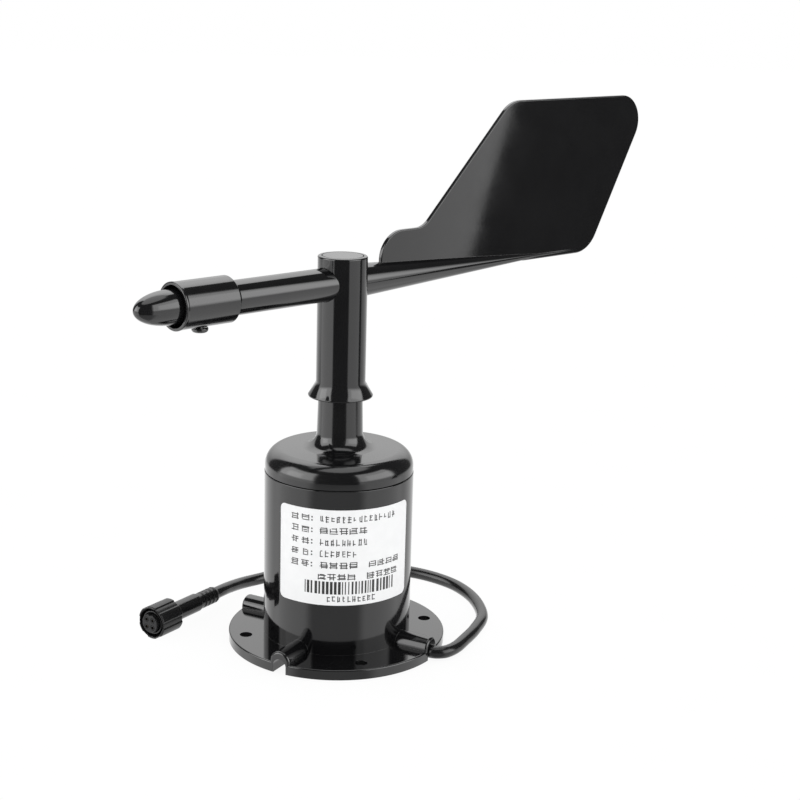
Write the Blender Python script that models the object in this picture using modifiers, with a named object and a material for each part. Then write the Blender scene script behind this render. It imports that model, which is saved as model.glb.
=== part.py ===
"""Wind direction sensor: a tail vane that turns on a mast above a round sensor housing.

Origin: the vane's turning axis at the underside of the mounting flange. +Z is up, the arm
lies along X with its weighted nose at -X and its tail fin at +X. Sizes below are millimetres.
"""
import math

import bmesh
import bpy
from mathutils import Matrix, Vector

MM = 0.001
FINE, MIDDLE, COARSE = 32, 24, 12        # segments round a large, medium and small turned part

# Housing and its flange
FLANGE_R = 38.0
FLANGE_TOP = 3.6
BODY_R = 25.75
SEAM_Z = 62.0
CAVITY_R = 23.3
RECESS_R = 22.5
FLOOR_BOTTOM, FLOOR_TOP = 7.5, 10.0
BOSS_R = 5.5
RIB_WIDTH, RIB_FOOT_Z = 2.4, 0.4
RIM_ROUND, LIP = 0.6, 0.3                # rounding of the flange's rim and small corner breaks
MOUNT_CIRCLE_R, MOUNT_HOLE_R = 32.6, 2.15
MOUNT_ANGLE = 63.6                       # degrees from +X to the first flange hole
TUNNEL_ANGLE = 18.6                      # degrees from +X to the first cable tunnel
TUNNEL_R, TUNNEL_TOP, TUNNEL_FOOT = 3.8, 7.7, 1.2
CHANNEL_R, CHANNEL_TOP = 2.5, 5.1
CABLE_ANGLE = TUNNEL_ANGLE - 90.0        # the tunnel that the cable leaves by

# Cover, neck and the screws that hold the cover down
COVER_R = 25.6
EDGE_R, EDGE_Z = 5.8, 64.2               # rounding between the cover's side and its sloping top
TOP_SLOPE = 3.0                          # degrees
COVER_WALL = 2.2
NECK_FOOT_R, FOOT_FILLET = 7.93, 5.5
NECK_TOP_R, NECK_TOP_Z = 7.55, 90.9
TUBE_R, TUBE_BOTTOM = 7.4, 50.0
SPIGOT_OUTER_R, SPIGOT_INNER_R, SPIGOT_BOTTOM = 22.9, 20.8, 58.0
SEAL_Z, SEAL_CORD_R, SEAL_GROOVE_DEPTH, SEAL_GROOVE_H = 60.0, 0.5, 1.05, 1.6
SCREW_CIRCLE_R = 18.8
SCREW_ANGLES = [CABLE_ANGLE + 60.0 + 120.0 * i for i in range(3)]
PILLAR_TOP, PILLAR_R = 56.0, 3.6
COVER_BOSS_R = 2.95
SCREW_HOLE_R, SCREW_HEAD_R, SCREW_SHANK_R = 1.75, 2.8, 1.45
SCREW_TIP, COVER_HOLE_TOP, COVER_BOSS_TOP = 66.0, 67.0, 68.5

# Bearings (4 x 11 x 4) and shaft
SHAFT_R, SHAFT_BOTTOM, SHAFT_TOP = 2.0, 45.3, 113.5
BEARING_OUTER_R, BEARING_H = 5.5, 4.0
BALL_R, BALL_CIRCLE_R, BALL_COUNT = 0.85, 3.75, 7
LOWER_BEARING_Z, UPPER_BEARING_Z = 54.5, 85.5
SEAT_R, SHOULDER_R = 5.75, 4.6
OUTER_RACE_R, INNER_RACE_R, CAGE_HALF = 4.7, 2.8, 0.3
RETAINER_R, RETAINER_H, CLIP_R, CLIP_H = 4.2, 2.0, 3.6, 0.8

# Sensor board
BOARD_Z, BOARD_T, BOARD_R = 37.0, 1.6, 14.6
POST_CIRCLE_R, POST_R, POST_HOLE_R, POST_HOLE_DEPTH = 11.5, 2.3, 1.1, 9.0
BOARD_SCREW_R, BOARD_SCREW_HEAD_R, BOARD_SCREW_LENGTH = 0.85, 2.1, 7.5
CHIP_R, CHIP_SIZE = 9.4, (6.0, 6.0, 1.1) # distance of the board's parts from its middle
SENSOR_SIZE, REGULATOR_SIZE, HEADER_SIZE = (5.0, 4.0, 1.5), (5.5, 6.2, 2.2), (5.0, 10.6, 6.6)
CAPACITOR_R, CAPACITOR_H, CORE_R = 2.5, 5.6, 0.4
MAGNET_R, MAGNET_BOTTOM, MAGNET_TOP = 2.9, 41.5, 43.8
HOLDER_R, HOLDER_TOP = 4.2, 49.0

# Hub (the mast that turns) and the arm through it
HUB_R, HUB_TOP = 8.45, 136.6
SKIRT_R, SKIRT_TOP, SKIRT_BOTTOM = 11.1, 93.4, 88.3
HUB_BORE_R = 4.3
SKIRT_INNER_R, SKIRT_ROOT_R, WALL_TOP, WALL_HOLE_R, BORE_BOTTOM = 10.0, 8.1, 91.7, 2.6, 94.5
BUSH_R, BUSH_TOP, HUB_SCREW_R = 4.0, 120.8, 1.25
CAP_R, CAP_BOTTOM = 6.9, 134.4
ARM_R, ARM_Z = 5.67, 127.4
ARM_HOLE_R = 5.9
SPOTFACE_Z, SPOTFACE_R, ARM_SCREW_HOLE_R = 131.6, 3.8, 1.6
STUD_R, STUD_HOLE_R, STUD_LENGTH, STUD_HOLE_DEPTH = 2.5, 2.8, 12.5, 13.0

# Vane: positions along X from the turning axis
BOOM_START, BOOM_END, BOOM_TIP_R = 8.4, 98.5, 0.85
FIN_T = 1.7
NOSE_JOINT, NOSE_TIP, NOSE_LENGTH = -57.6, -83.4, 12.7
FIN_CORNERS = [                          # (x, z, corner radius), anticlockwise seen from -Y
    (16.9, ARM_Z, 0), (80.0, ARM_Z, 0), (88.6, 126.0, 0), (126.0, 126.0, 12.5),
    (158.9, 185.0, 10.1), (78.9, 185.0, 12.0), (36.9, 143.0, 8.0), (16.9, 143.0, 10.0)]

# Balance sleeve on the arm
SLEEVE_R, SLEEVE_BORE_R, SLEEVE_MOUTH_R = 7.63, 5.95, 6.7
SLEEVE_FRONT, SLEEVE_STEP, SLEEVE_SHOULDER, SLEEVE_BACK = -69.3, -60.0, -48.7, -47.2
SLEEVE_SCREW_X, SLEEVE_HOLE_R, SLEEVE_SCREW_R = -59.0, 1.5, 1.2
SLEEVE_HEAD_R, SLEEVE_HEAD_H = 2.7, 1.45
SLEEVE_BEAD, SLEEVE_BEAD_LENGTH = 0.12, 0.5

# Cable, from inside the housing to the plug
CABLE_R = 2.2
CABLE_ENTRY_R, CABLE_START_Z = 11.0, 18.0
CABLE_RUN_Z, CABLE_BEND_R = 2.45, 5.0
CABLE_MOUTH_R, CABLE_ENTRY_HOLE_R = 37.6, 3.9
GROMMET_R, GROMMET_NECK_R, TIE_BOTTOM, TIE_TOP = 4.6, 3.6, 13.4, 15.4
CABLE_LOOP = [                           # where the cable lies after it leaves the flange
    (16.2, -38.9, 2.4), (21.5, -38.3, 2.3), (28.7, -35.6, 2.3), (38.0, -31.5, 2.3),
    (48.8, -24.7, 2.3), (57.6, -13.0, 2.3), (62.4, -1.0, 2.3), (63.4, 10.0, 2.3),
    (60.8, 22.5, 2.3), (53.5, 36.0, 2.3), (41.0, 47.5, 2.3), (25.0, 54.6, 2.3),
    (9.6, 56.0, 2.4), (0.5, 54.7, 3.4), (-8.3, 51.3, 4.9), (-14.6, 48.5, 5.8)]

# Plug: lengths along its axis from the front face
PLUG_FACE = (-51.9, 39.2, 6.0)
PLUG_ANGLE = 13.2                        # degrees from +X to the plug's axis, front to back
NUT_R, NUT_ROOT_R, NUT_LENGTH = 5.95, 5.6, 10.4
NUT_BORE_R, NUT_WALL_START, NUT_NECK_R = 5.1, 8.6, 3.75
NUT_LANDS, NUT_LAND_WIDTH, NUT_LAND_INSET = 6, 34.0, 0.7
BARREL_R, BARREL_INNER_R, BARREL_START, BARREL_END = 4.3, 3.75, 0.6, 8.2
PLUG_R, PLUG_STEP, PLUG_LENGTH, PLUG_BORE_START = 3.35, 23.8, 34.2, 20.2
BOOT_R, BOOT_GROOVE_R, BOOT_GROOVES, BOOT_PITCH = 3.0, 2.6, 4, 2.1
INSERT_R, INSERT_START, INSERT_END, KEY_R = 3.4, -0.8, 7.3, 0.8
CONTACT_CIRCLE_R, CONTACT_R, CONTACT_BORE_R, CONTACT_HOLE_R = 1.9, 0.5, 0.25, 0.8
CONTACT_DEPTH = 0.7
PLUG_SEAL_START, PLUG_SEAL_END = 6.9, 8.1

# Label on the housing
LABEL_ANGLE, LABEL_SWEEP = -124.1, 110.5
LABEL_BOTTOM, LABEL_TOP, LABEL_T, LABEL_FIT = 21.8, 55.5, 0.15, 0.2

GAP = 0.3                                # clearance where one piece rests on another
SHAFT_FIT = 0.15                         # clearance round the shaft
SEAM_GAP = 0.1                           # half the clearance between the housing and its cover
PAST = 1.0                               # how far a cutting or joined solid runs past a surface
FINE_DRILL = 12                          # segments round a small hole


def start():
    """Empties the scene and makes one collection for the parts and one for the cutters."""
    for obj in list(bpy.data.objects):
        bpy.data.objects.remove(obj, do_unlink=True)
    parts = bpy.data.collections.new("wind_direction_sensor")
    cutters = bpy.data.collections.new("cutters")
    for collection in (parts, cutters):
        bpy.context.scene.collection.children.link(collection)
    return parts, cutters


PARTS, CUTTERS = start()


def finish(name, colour, roughness, metallic=0.0):
    """Material with a colour, roughness and metallic value."""
    made = bpy.data.materials.new(name)
    made.use_nodes = True
    shader = made.node_tree.nodes["Principled BSDF"]
    shader.inputs["Base Color"].default_value = (*colour, 1.0)
    shader.inputs["Roughness"].default_value = roughness
    shader.inputs["Metallic"].default_value = metallic
    return made


BLACK_PLASTIC = finish("black_plastic", (0.014, 0.014, 0.015), 0.16)
DARK_PLASTIC = finish("dark_plastic", (0.03, 0.03, 0.032), 0.45)
BLACK_PVC = finish("black_pvc", (0.018, 0.018, 0.018), 0.38)
RUBBER = finish("rubber", (0.02, 0.02, 0.02), 0.7)
STEEL = finish("steel", (0.55, 0.56, 0.58), 0.3, 1.0)
BLACK_METAL = finish("black_metal", (0.02, 0.02, 0.021), 0.22, 0.4)
BRASS = finish("brass", (0.72, 0.55, 0.25), 0.3, 1.0)
MAGNET_GREY = finish("magnet_grey", (0.3, 0.3, 0.31), 0.35, 0.9)
NYLON = finish("nylon", (0.75, 0.73, 0.66), 0.5)
BOARD_GREEN = finish("board_green", (0.02, 0.16, 0.07), 0.4)
LABEL_WHITE = finish("label_white", (0.85, 0.86, 0.87), 0.45)


def add_object(name, data, look, parent=None, cutter=False):
    """Links a mesh or curve as a part, or as a hidden cutter."""
    obj = bpy.data.objects.new(name, data)
    (CUTTERS if cutter else PARTS).objects.link(obj)
    obj.parent = parent
    if cutter:
        obj.hide_render = True
        obj.display_type = "WIRE"
    else:
        data.materials.append(look)
    return obj


def axis_empty(name, position, rotation=(0.0, 0.0, 0.0)):
    """Empty that marks a joint's axis or carries a tilted group."""
    obj = bpy.data.objects.new(name, None)
    PARTS.objects.link(obj)
    obj.location = Vector(position) * MM
    obj.rotation_euler = rotation
    return obj


def turned(name, profile, steps, look=None, parent=None, cutter=False, sweep=360.0):
    """Turns (radius, height) points about local Z. A profile off the axis closes on itself."""
    mesh = bpy.data.meshes.new(name)
    count = len(profile)
    edges = [(i, i + 1) for i in range(count - 1)]
    if profile[0][0] > 0 and sweep == 360.0:
        edges.append((count - 1, 0))
    mesh.from_pydata([(r * MM, 0.0, z * MM) for r, z in profile], edges, [])
    obj = add_object(name, mesh, look, parent, cutter)
    screw = obj.modifiers.new("Turn", "SCREW")
    screw.axis = "Z"
    screw.angle = math.radians(sweep)
    screw.steps = steps
    screw.render_steps = steps
    screw.use_merge_vertices = True
    screw.merge_threshold = 0.00001
    screw.use_smooth_shade = True
    return obj


def ring(name, inner, outer, bottom, top, steps, look=None, parent=None, cutter=False):
    """Plain ring about local Z."""
    profile = [(outer, top), (outer, bottom), (inner, bottom), (inner, top)]
    return turned(name, profile, steps, look, parent, cutter)


def cylinder(name, radius, bottom, top, steps, look=None, parent=None, cutter=False, at=(0, 0)):
    """Upright cylinder between two heights."""
    mesh = bpy.data.meshes.new(name)
    shape = bmesh.new()
    bmesh.ops.create_cone(shape, cap_ends=True, segments=steps, radius1=radius * MM,
                          radius2=radius * MM, depth=(top - bottom) * MM)
    middle = Vector((0.0, 0.0, (top + bottom) / 2)) * MM
    bmesh.ops.translate(shape, verts=shape.verts, vec=middle)
    shape.to_mesh(mesh)
    shape.free()
    obj = add_object(name, mesh, look, parent, cutter)
    obj.location = Vector((at[0], at[1], 0.0)) * MM
    return obj


def box(name, size, centre, look=None, parent=None, cutter=False, turn=0.0):
    """Box of a given size about a centre, turned about the origin's Z axis by degrees."""
    mesh = bpy.data.meshes.new(name)
    shape = bmesh.new()
    bmesh.ops.create_cube(shape, size=1.0)
    bmesh.ops.scale(shape, verts=shape.verts, vec=Vector(size) * MM)
    bmesh.ops.translate(shape, verts=shape.verts, vec=Vector(centre) * MM)
    shape.to_mesh(mesh)
    shape.free()
    obj = add_object(name, mesh, look, parent, cutter)
    obj.rotation_euler = (0.0, 0.0, math.radians(turn))
    return obj


def outline_solid(name, points, thickness, look=None, cutter=False):
    """Flat closed outline in local XY, thickened equally both ways along local Z, as a mesh."""
    curve = bpy.data.curves.new(name, "CURVE")
    curve.dimensions = "2D"
    curve.fill_mode = "BOTH"
    curve.extrude = thickness / 2 * MM
    spline = curve.splines.new("POLY")
    spline.points.add(len(points) - 1)
    for point, (x, y) in zip(spline.points, points):
        point.co = (x * MM, y * MM, 0.0, 1.0)
    spline.use_cyclic_u = True
    return mesh_from_curve(name, curve, look, cutter)


def mesh_from_curve(name, curve, look, cutter=False):
    """Replaces a curve with a closed mesh object."""
    source = bpy.data.objects.new(name + "_curve", curve)
    PARTS.objects.link(source)
    graph = bpy.context.evaluated_depsgraph_get()
    mesh = bpy.data.meshes.new_from_object(source.evaluated_get(graph))
    shape = bmesh.new()
    shape.from_mesh(mesh)
    bmesh.ops.remove_doubles(shape, verts=shape.verts, dist=0.000001)
    bmesh.ops.recalc_face_normals(shape, faces=shape.faces)
    shape.to_mesh(mesh)
    shape.free()
    bpy.data.objects.remove(source, do_unlink=True)
    mesh.materials.clear()
    return add_object(name, mesh, look, None, cutter)


def combine(target, tool, operation):
    """Adds one exact Boolean step to a part."""
    step = target.modifiers.new(operation.title(), "BOOLEAN")
    step.operation = operation
    step.solver = "EXACT"
    step.object = tool


def polar(radius, degrees):
    """Point on a circle about the turning axis."""
    angle = math.radians(degrees)
    return radius * math.cos(angle), radius * math.sin(angle)


def arc(centre, radius, first, last, steps):
    """Points along an arc between two angles in degrees."""
    points = []
    for i in range(steps + 1):
        x, y = polar(radius, first + (last - first) * i / steps)
        points.append((centre[0] + x, centre[1] + y))
    return points


def rounded(corners, step_degrees=11.0):
    """Closed outline whose corners (x, y, radius) are rounded by tangent arcs."""
    outline = []
    for i, (x, y, radius) in enumerate(corners):
        here = Vector((x, y))
        before = (Vector(corners[i - 1][:2]) - here).normalized()
        after = (Vector(corners[(i + 1) % len(corners)][:2]) - here).normalized()
        if radius == 0:
            outline.append((x, y))
            continue
        half = before.angle(after) / 2
        centre = here + (before + after).normalized() * radius / math.sin(half)
        first = here + before * radius / math.tan(half) - centre
        last = here + after * radius / math.tan(half) - centre
        swing = first.angle_signed(last)
        count = max(2, round(math.degrees(abs(swing)) / step_degrees))
        for k in range(count + 1):
            spoke = Matrix.Rotation(-swing * k / count, 2) @ first
            outline.append(tuple(centre + spoke))
    return outline


def smooth_path(points, per_span=4):
    """Catmull-Rom curve through the points."""
    path = []
    ends = [points[0]] + points + [points[-1]]
    for i in range(len(points) - 1):
        a, b, c, d = (Vector(p) for p in ends[i:i + 4])
        for k in range(per_span):
            t = k / per_span
            path.append(0.5 * (2 * b + (c - a) * t + (2 * a - 5 * b + 4 * c - d) * t ** 2
                               + (3 * b - a - 3 * c + d) * t ** 3))
    path.append(Vector(points[-1]))
    return path


def wire(name, path, radius, look, roundness=2):
    """Round wire along a path, with closed ends."""
    curve = bpy.data.curves.new(name, "CURVE")
    curve.dimensions = "3D"
    curve.bevel_depth = radius * MM
    curve.bevel_resolution = roundness
    curve.use_fill_caps = True
    spline = curve.splines.new("POLY")
    spline.points.add(len(path) - 1)
    for point, place in zip(spline.points, path):
        point.co = (*(Vector(place) * MM), 1.0)
    return mesh_from_curve(name, curve, look)


def arch(name, radius, top, bottom, inner, outer, degrees):
    """Arched bar lying on the flange along a radius, from an inner to an outer distance."""
    spring = top - radius
    outline = arc((0.0, spring), radius, 0, 180, 8)
    outline += [(-radius, bottom), (radius, bottom)]
    bar = outline_solid(name, outline, outer - inner, cutter=True)
    across = Matrix(((0, 0, 1), (1, 0, 0), (0, 1, 0))).to_4x4()
    middle = Matrix.Translation(Vector(((inner + outer) / 2 * MM, 0.0, 0.0)))
    bar.matrix_world = Matrix.Rotation(math.radians(degrees), 4, "Z") @ middle @ across
    return bar


def make_housing():
    """Flanged cup with an inner floor; ribs, tunnels, pillars and posts are joined to it."""
    top = SEAM_Z - SEAM_GAP
    profile = [(0.0, FLOOR_TOP), (CAVITY_R, FLOOR_TOP), (CAVITY_R, top), (BODY_R - LIP, top),
               (BODY_R, top - LIP), (BODY_R, FLANGE_TOP)]
    profile += arc((FLANGE_R - RIM_ROUND, FLANGE_TOP - RIM_ROUND), RIM_ROUND, 90, 0, 2)
    profile += [(FLANGE_R, LIP), (FLANGE_R - LIP, 0.0), (RECESS_R, 0.0), (RECESS_R, FLOOR_BOTTOM),
                (BOSS_R, FLOOR_BOTTOM), (BOSS_R, 0.0), (0.0, 0.0)]
    housing = turned("housing", profile, FINE, BLACK_PLASTIC)
    wall_middle = (CAVITY_R + BODY_R) / 2
    for i in range(4):
        rib_start, rib_end = BOSS_R - PAST, RECESS_R + LIP
        rib_top = FLOOR_BOTTOM + PAST
        centre = ((rib_start + rib_end) / 2, 0.0, (RIB_FOOT_Z + rib_top) / 2)
        size = (rib_end - rib_start, RIB_WIDTH, rib_top - RIB_FOOT_Z)
        rib = box(f"rib_{i}", size, centre, cutter=True, turn=MOUNT_ANGLE + 90.0 * i)
        combine(housing, rib, "UNION")
        tunnel = arch(f"tunnel_{i}", TUNNEL_R, TUNNEL_TOP, TUNNEL_FOOT, wall_middle,
                      FLANGE_R - LIP / 2, TUNNEL_ANGLE + 90.0 * i)
        combine(housing, tunnel, "UNION")
    for i, degrees in enumerate(SCREW_ANGLES):
        pillar = cylinder(f"pillar_{i}", PILLAR_R, FLOOR_TOP - PAST, PILLAR_TOP, COARSE,
                          cutter=True, at=polar(SCREW_CIRCLE_R, degrees))
        combine(housing, pillar, "UNION")
        post = cylinder(f"post_{i}", POST_R, FLOOR_TOP - PAST, BOARD_Z - GAP, COARSE, cutter=True,
                        at=polar(POST_CIRCLE_R, degrees))
        combine(housing, post, "UNION")
    for i in range(4):
        channel = arch(f"channel_{i}", CHANNEL_R, CHANNEL_TOP, -PAST, RECESS_R - 2 * PAST,
                       FLANGE_R + 2 * PAST, TUNNEL_ANGLE + 90.0 * i)
        combine(housing, channel, "DIFFERENCE")
        hole = cylinder(f"mount_hole_{i}", MOUNT_HOLE_R, -PAST, FLANGE_TOP + PAST, COARSE,
                        cutter=True, at=polar(MOUNT_CIRCLE_R, MOUNT_ANGLE + 90.0 * i))
        combine(housing, hole, "DIFFERENCE")
    for i, degrees in enumerate(SCREW_ANGLES):
        drill = cylinder(f"pillar_hole_{i}", SCREW_HOLE_R, -PAST, PILLAR_TOP + PAST, COARSE,
                         cutter=True, at=polar(SCREW_CIRCLE_R, degrees))
        combine(housing, drill, "DIFFERENCE")
        drill = cylinder(f"post_hole_{i}", POST_HOLE_R, BOARD_Z - POST_HOLE_DEPTH, BOARD_Z + PAST,
                         FINE_DRILL, cutter=True, at=polar(POST_CIRCLE_R, degrees))
        combine(housing, drill, "DIFFERENCE")
    entry = cylinder("cable_entry", CABLE_ENTRY_HOLE_R, FLOOR_BOTTOM - PAST, FLOOR_TOP + PAST,
                     COARSE, cutter=True, at=polar(CABLE_ENTRY_R, CABLE_ANGLE))
    combine(housing, entry, "DIFFERENCE")


def top_height(radius):
    """Height of the cover's sloping top at a distance from the turning axis."""
    slope = math.radians(TOP_SLOPE)
    edge_r = COVER_R - EDGE_R + EDGE_R * math.sin(slope)
    edge_z = EDGE_Z + EDGE_R * math.cos(slope)
    return edge_z + (edge_r - radius) * math.tan(slope)


def make_cover():
    """Cover with a sloping top: spigot in the housing, and a bearing tube that rises as the neck."""
    slant = math.cos(math.radians(TOP_SLOPE))
    fillet_r = NECK_FOOT_R + FOOT_FILLET
    fillet_z = top_height(fillet_r) + FOOT_FILLET / slant
    under = COVER_WALL / slant
    groove_r, groove_half = SPIGOT_OUTER_R - SEAL_GROOVE_DEPTH, SEAL_GROOVE_H / 2
    foot = SEAM_Z + SEAM_GAP
    profile = [(NECK_TOP_R - LIP, NECK_TOP_Z), (NECK_TOP_R, NECK_TOP_Z - LIP)]
    profile += arc((fillet_r, fillet_z), FOOT_FILLET, 180, 270 - TOP_SLOPE, 6)
    profile += arc((COVER_R - EDGE_R, EDGE_Z), EDGE_R, 90 - TOP_SLOPE, 0, 5)
    profile += [(COVER_R, foot), (SPIGOT_OUTER_R, foot), (SPIGOT_OUTER_R, SEAL_Z + groove_half),
                (groove_r, SEAL_Z + groove_half), (groove_r, SEAL_Z - groove_half),
                (SPIGOT_OUTER_R, SEAL_Z - groove_half), (SPIGOT_OUTER_R, SPIGOT_BOTTOM),
                (SPIGOT_INNER_R, SPIGOT_BOTTOM),
                (SPIGOT_INNER_R, top_height(SPIGOT_INNER_R) - under),
                (TUBE_R, top_height(TUBE_R) - under), (TUBE_R, TUBE_BOTTOM),
                (SEAT_R, TUBE_BOTTOM), (SEAT_R, LOWER_BEARING_Z + BEARING_H + GAP),
                (SHOULDER_R, LOWER_BEARING_Z + BEARING_H + GAP),
                (SHOULDER_R, UPPER_BEARING_Z - GAP), (SEAT_R, UPPER_BEARING_Z - GAP),
                (SEAT_R, NECK_TOP_Z)]
    cover = turned("top_cover", profile, FINE, BLACK_PLASTIC)
    for i, degrees in enumerate(SCREW_ANGLES):
        boss = cylinder(f"cover_boss_{i}", COVER_BOSS_R, PILLAR_TOP + GAP, COVER_BOSS_TOP, COARSE,
                        cutter=True, at=polar(SCREW_CIRCLE_R, degrees))
        combine(cover, boss, "UNION")
    for i, degrees in enumerate(SCREW_ANGLES):
        drill = cylinder(f"boss_hole_{i}", SCREW_HOLE_R, PILLAR_TOP - PAST, COVER_HOLE_TOP, COARSE,
                         cutter=True, at=polar(SCREW_CIRCLE_R, degrees))
        combine(cover, drill, "DIFFERENCE")
    section = arc((SPIGOT_OUTER_R - 0.7 * SEAL_CORD_R, SEAL_Z), SEAL_CORD_R, 90, -210, 5)
    turned("cover_seal", section, FINE, RUBBER)


def make_cover_screws():
    """Three long pan-head screws that come up from the recess into the cover's bosses."""
    seat = FLOOR_BOTTOM - GAP
    height, tip = 2.0, 0.4
    profile = [(0.0, SCREW_TIP), (SCREW_SHANK_R - tip, SCREW_TIP - tip),
               (SCREW_SHANK_R, SCREW_TIP - 2 * tip), (SCREW_SHANK_R, seat), (SCREW_HEAD_R, seat),
               (SCREW_HEAD_R, seat - 0.6 * height), (0.7 * SCREW_HEAD_R, seat - height),
               (0.0, seat - height)]
    slot_size = (1.5 * SCREW_HEAD_R, 0.7, height)
    for i, degrees in enumerate(SCREW_ANGLES):
        screw = turned(f"cover_screw_{i + 1}", profile, COARSE, STEEL)
        screw.location = Vector((*polar(SCREW_CIRCLE_R, degrees), 0.0)) * MM
        slot = box(f"cover_screw_slot_{i}", slot_size, (0, 0, seat - 1.15 * height), cutter=True)
        slot.location = screw.location
        combine(screw, slot, "DIFFERENCE")


def make_bearing(label, bottom, yaw):
    """Deep-groove bearing: outer ring fixed, inner ring on the shaft, balls in a cage."""
    ring(f"{label}_bearing_outer_ring", OUTER_RACE_R, BEARING_OUTER_R, bottom,
         bottom + BEARING_H, MIDDLE, STEEL)
    ring(f"{label}_bearing_inner_ring", SHAFT_R + SHAFT_FIT, INNER_RACE_R, bottom,
         bottom + BEARING_H, COARSE, STEEL, yaw)
    middle = bottom + BEARING_H / 2
    cage = ring(f"{label}_ball_cage", BALL_CIRCLE_R - CAGE_HALF, BALL_CIRCLE_R + CAGE_HALF,
                middle - CAGE_HALF, middle + CAGE_HALF, 2 * BALL_COUNT, STEEL, yaw)
    for i in range(BALL_COUNT):
        mesh = bpy.data.meshes.new(f"{label}_ball_{i}")
        shape = bmesh.new()
        bmesh.ops.create_uvsphere(shape, u_segments=6, v_segments=4, radius=BALL_R * MM)
        place = (*polar(BALL_CIRCLE_R, 360.0 * i / BALL_COUNT), middle)
        bmesh.ops.translate(shape, verts=shape.verts, vec=Vector(place) * MM)
        shape.to_mesh(mesh)
        shape.free()
        combine(cage, add_object(mesh.name, mesh, None, yaw, cutter=True), "UNION")


def make_bearing_fittings(yaw):
    """Retainer under the lower bearing, clip on the shaft, and seal at the neck's mouth."""
    under = LOWER_BEARING_Z - GAP
    outer = SEAT_R - 0.2
    ring("lower_bearing_retainer", RETAINER_R, outer, under - RETAINER_H, under, MIDDLE,
         DARK_PLASTIC)
    ring("shaft_clip", SHAFT_R + SHAFT_FIT, CLIP_R, under - CLIP_H, under, COARSE, STEEL, yaw)
    ring("shaft_seal", SHAFT_R + 0.5, outer, UPPER_BEARING_Z + BEARING_H + GAP,
         NECK_TOP_Z - 0.2, MIDDLE, RUBBER)


def make_board():
    """Round sensor board on three posts, with its chips, capacitor and wire header."""
    board = cylinder("circuit_board", BOARD_R, BOARD_Z, BOARD_Z + BOARD_T, MIDDLE, BOARD_GREEN)
    top = BOARD_Z + BOARD_T
    seat, crown = top + GAP, top + 2.1
    tip = BOARD_Z - BOARD_SCREW_LENGTH
    head = [(0.0, crown), (BOARD_SCREW_HEAD_R - 0.5, crown), (BOARD_SCREW_HEAD_R, crown - 0.6),
            (BOARD_SCREW_HEAD_R, seat), (BOARD_SCREW_R, seat), (BOARD_SCREW_R, tip + 0.5),
            (0.0, tip)]
    for i, degrees in enumerate(SCREW_ANGLES):
        place = polar(POST_CIRCLE_R, degrees)
        drill = cylinder(f"board_hole_{i}", POST_HOLE_R, BOARD_Z - PAST, top + PAST, FINE_DRILL,
                         cutter=True, at=place)
        combine(board, drill, "DIFFERENCE")
        screw = turned(f"board_screw_{i + 1}", head, COARSE, STEEL)
        screw.location = Vector((*place, 0.0)) * MM
    parts = [("angle_sensor_chip", SENSOR_SIZE, 0.0, 0.0),
             ("microcontroller", CHIP_SIZE, CHIP_R, 120.0),
             ("voltage_regulator", REGULATOR_SIZE, CHIP_R, 240.0)]
    for name, size, distance, turn in parts:
        box(name, size, (distance, 0.0, seat + size[2] / 2), DARK_PLASTIC, turn=CABLE_ANGLE + turn)
    cylinder("capacitor", CAPACITOR_R, seat, seat + CAPACITOR_H, COARSE, STEEL,
             at=polar(CHIP_R, CABLE_ANGLE))
    box("wire_header", HEADER_SIZE, (CHIP_R, 0.0, BOARD_Z - GAP - HEADER_SIZE[2] / 2), NYLON,
        turn=CABLE_ANGLE)


def make_wires():
    """Four cores from the end of the cable's jacket to the header."""
    cores = [("wire_brown", (0.16, 0.06, 0.03)), ("wire_black", (0.01, 0.01, 0.01)),
             ("wire_blue", (0.02, 0.08, 0.4)), ("wire_green", (0.02, 0.3, 0.06))]
    turn = Matrix.Rotation(math.radians(CABLE_ANGLE), 3, "Z")
    end_z = BOARD_Z - HEADER_SIZE[2] - 3 * GAP
    for i, (name, colour) in enumerate(cores):
        across = i - 1.5
        path = smooth_path([(CABLE_ENTRY_R, across * 0.95, CABLE_START_Z + GAP),
                            (CABLE_ENTRY_R, across * 1.1, CABLE_START_Z + 3.0),
                            (CHIP_R + 0.6, across * 2.3, end_z - 4.0),
                            (CHIP_R, across * 2.4, end_z)], 3)
        wire(name, [turn @ point for point in path], CORE_R, finish(name, colour, 0.4), 1)


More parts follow.
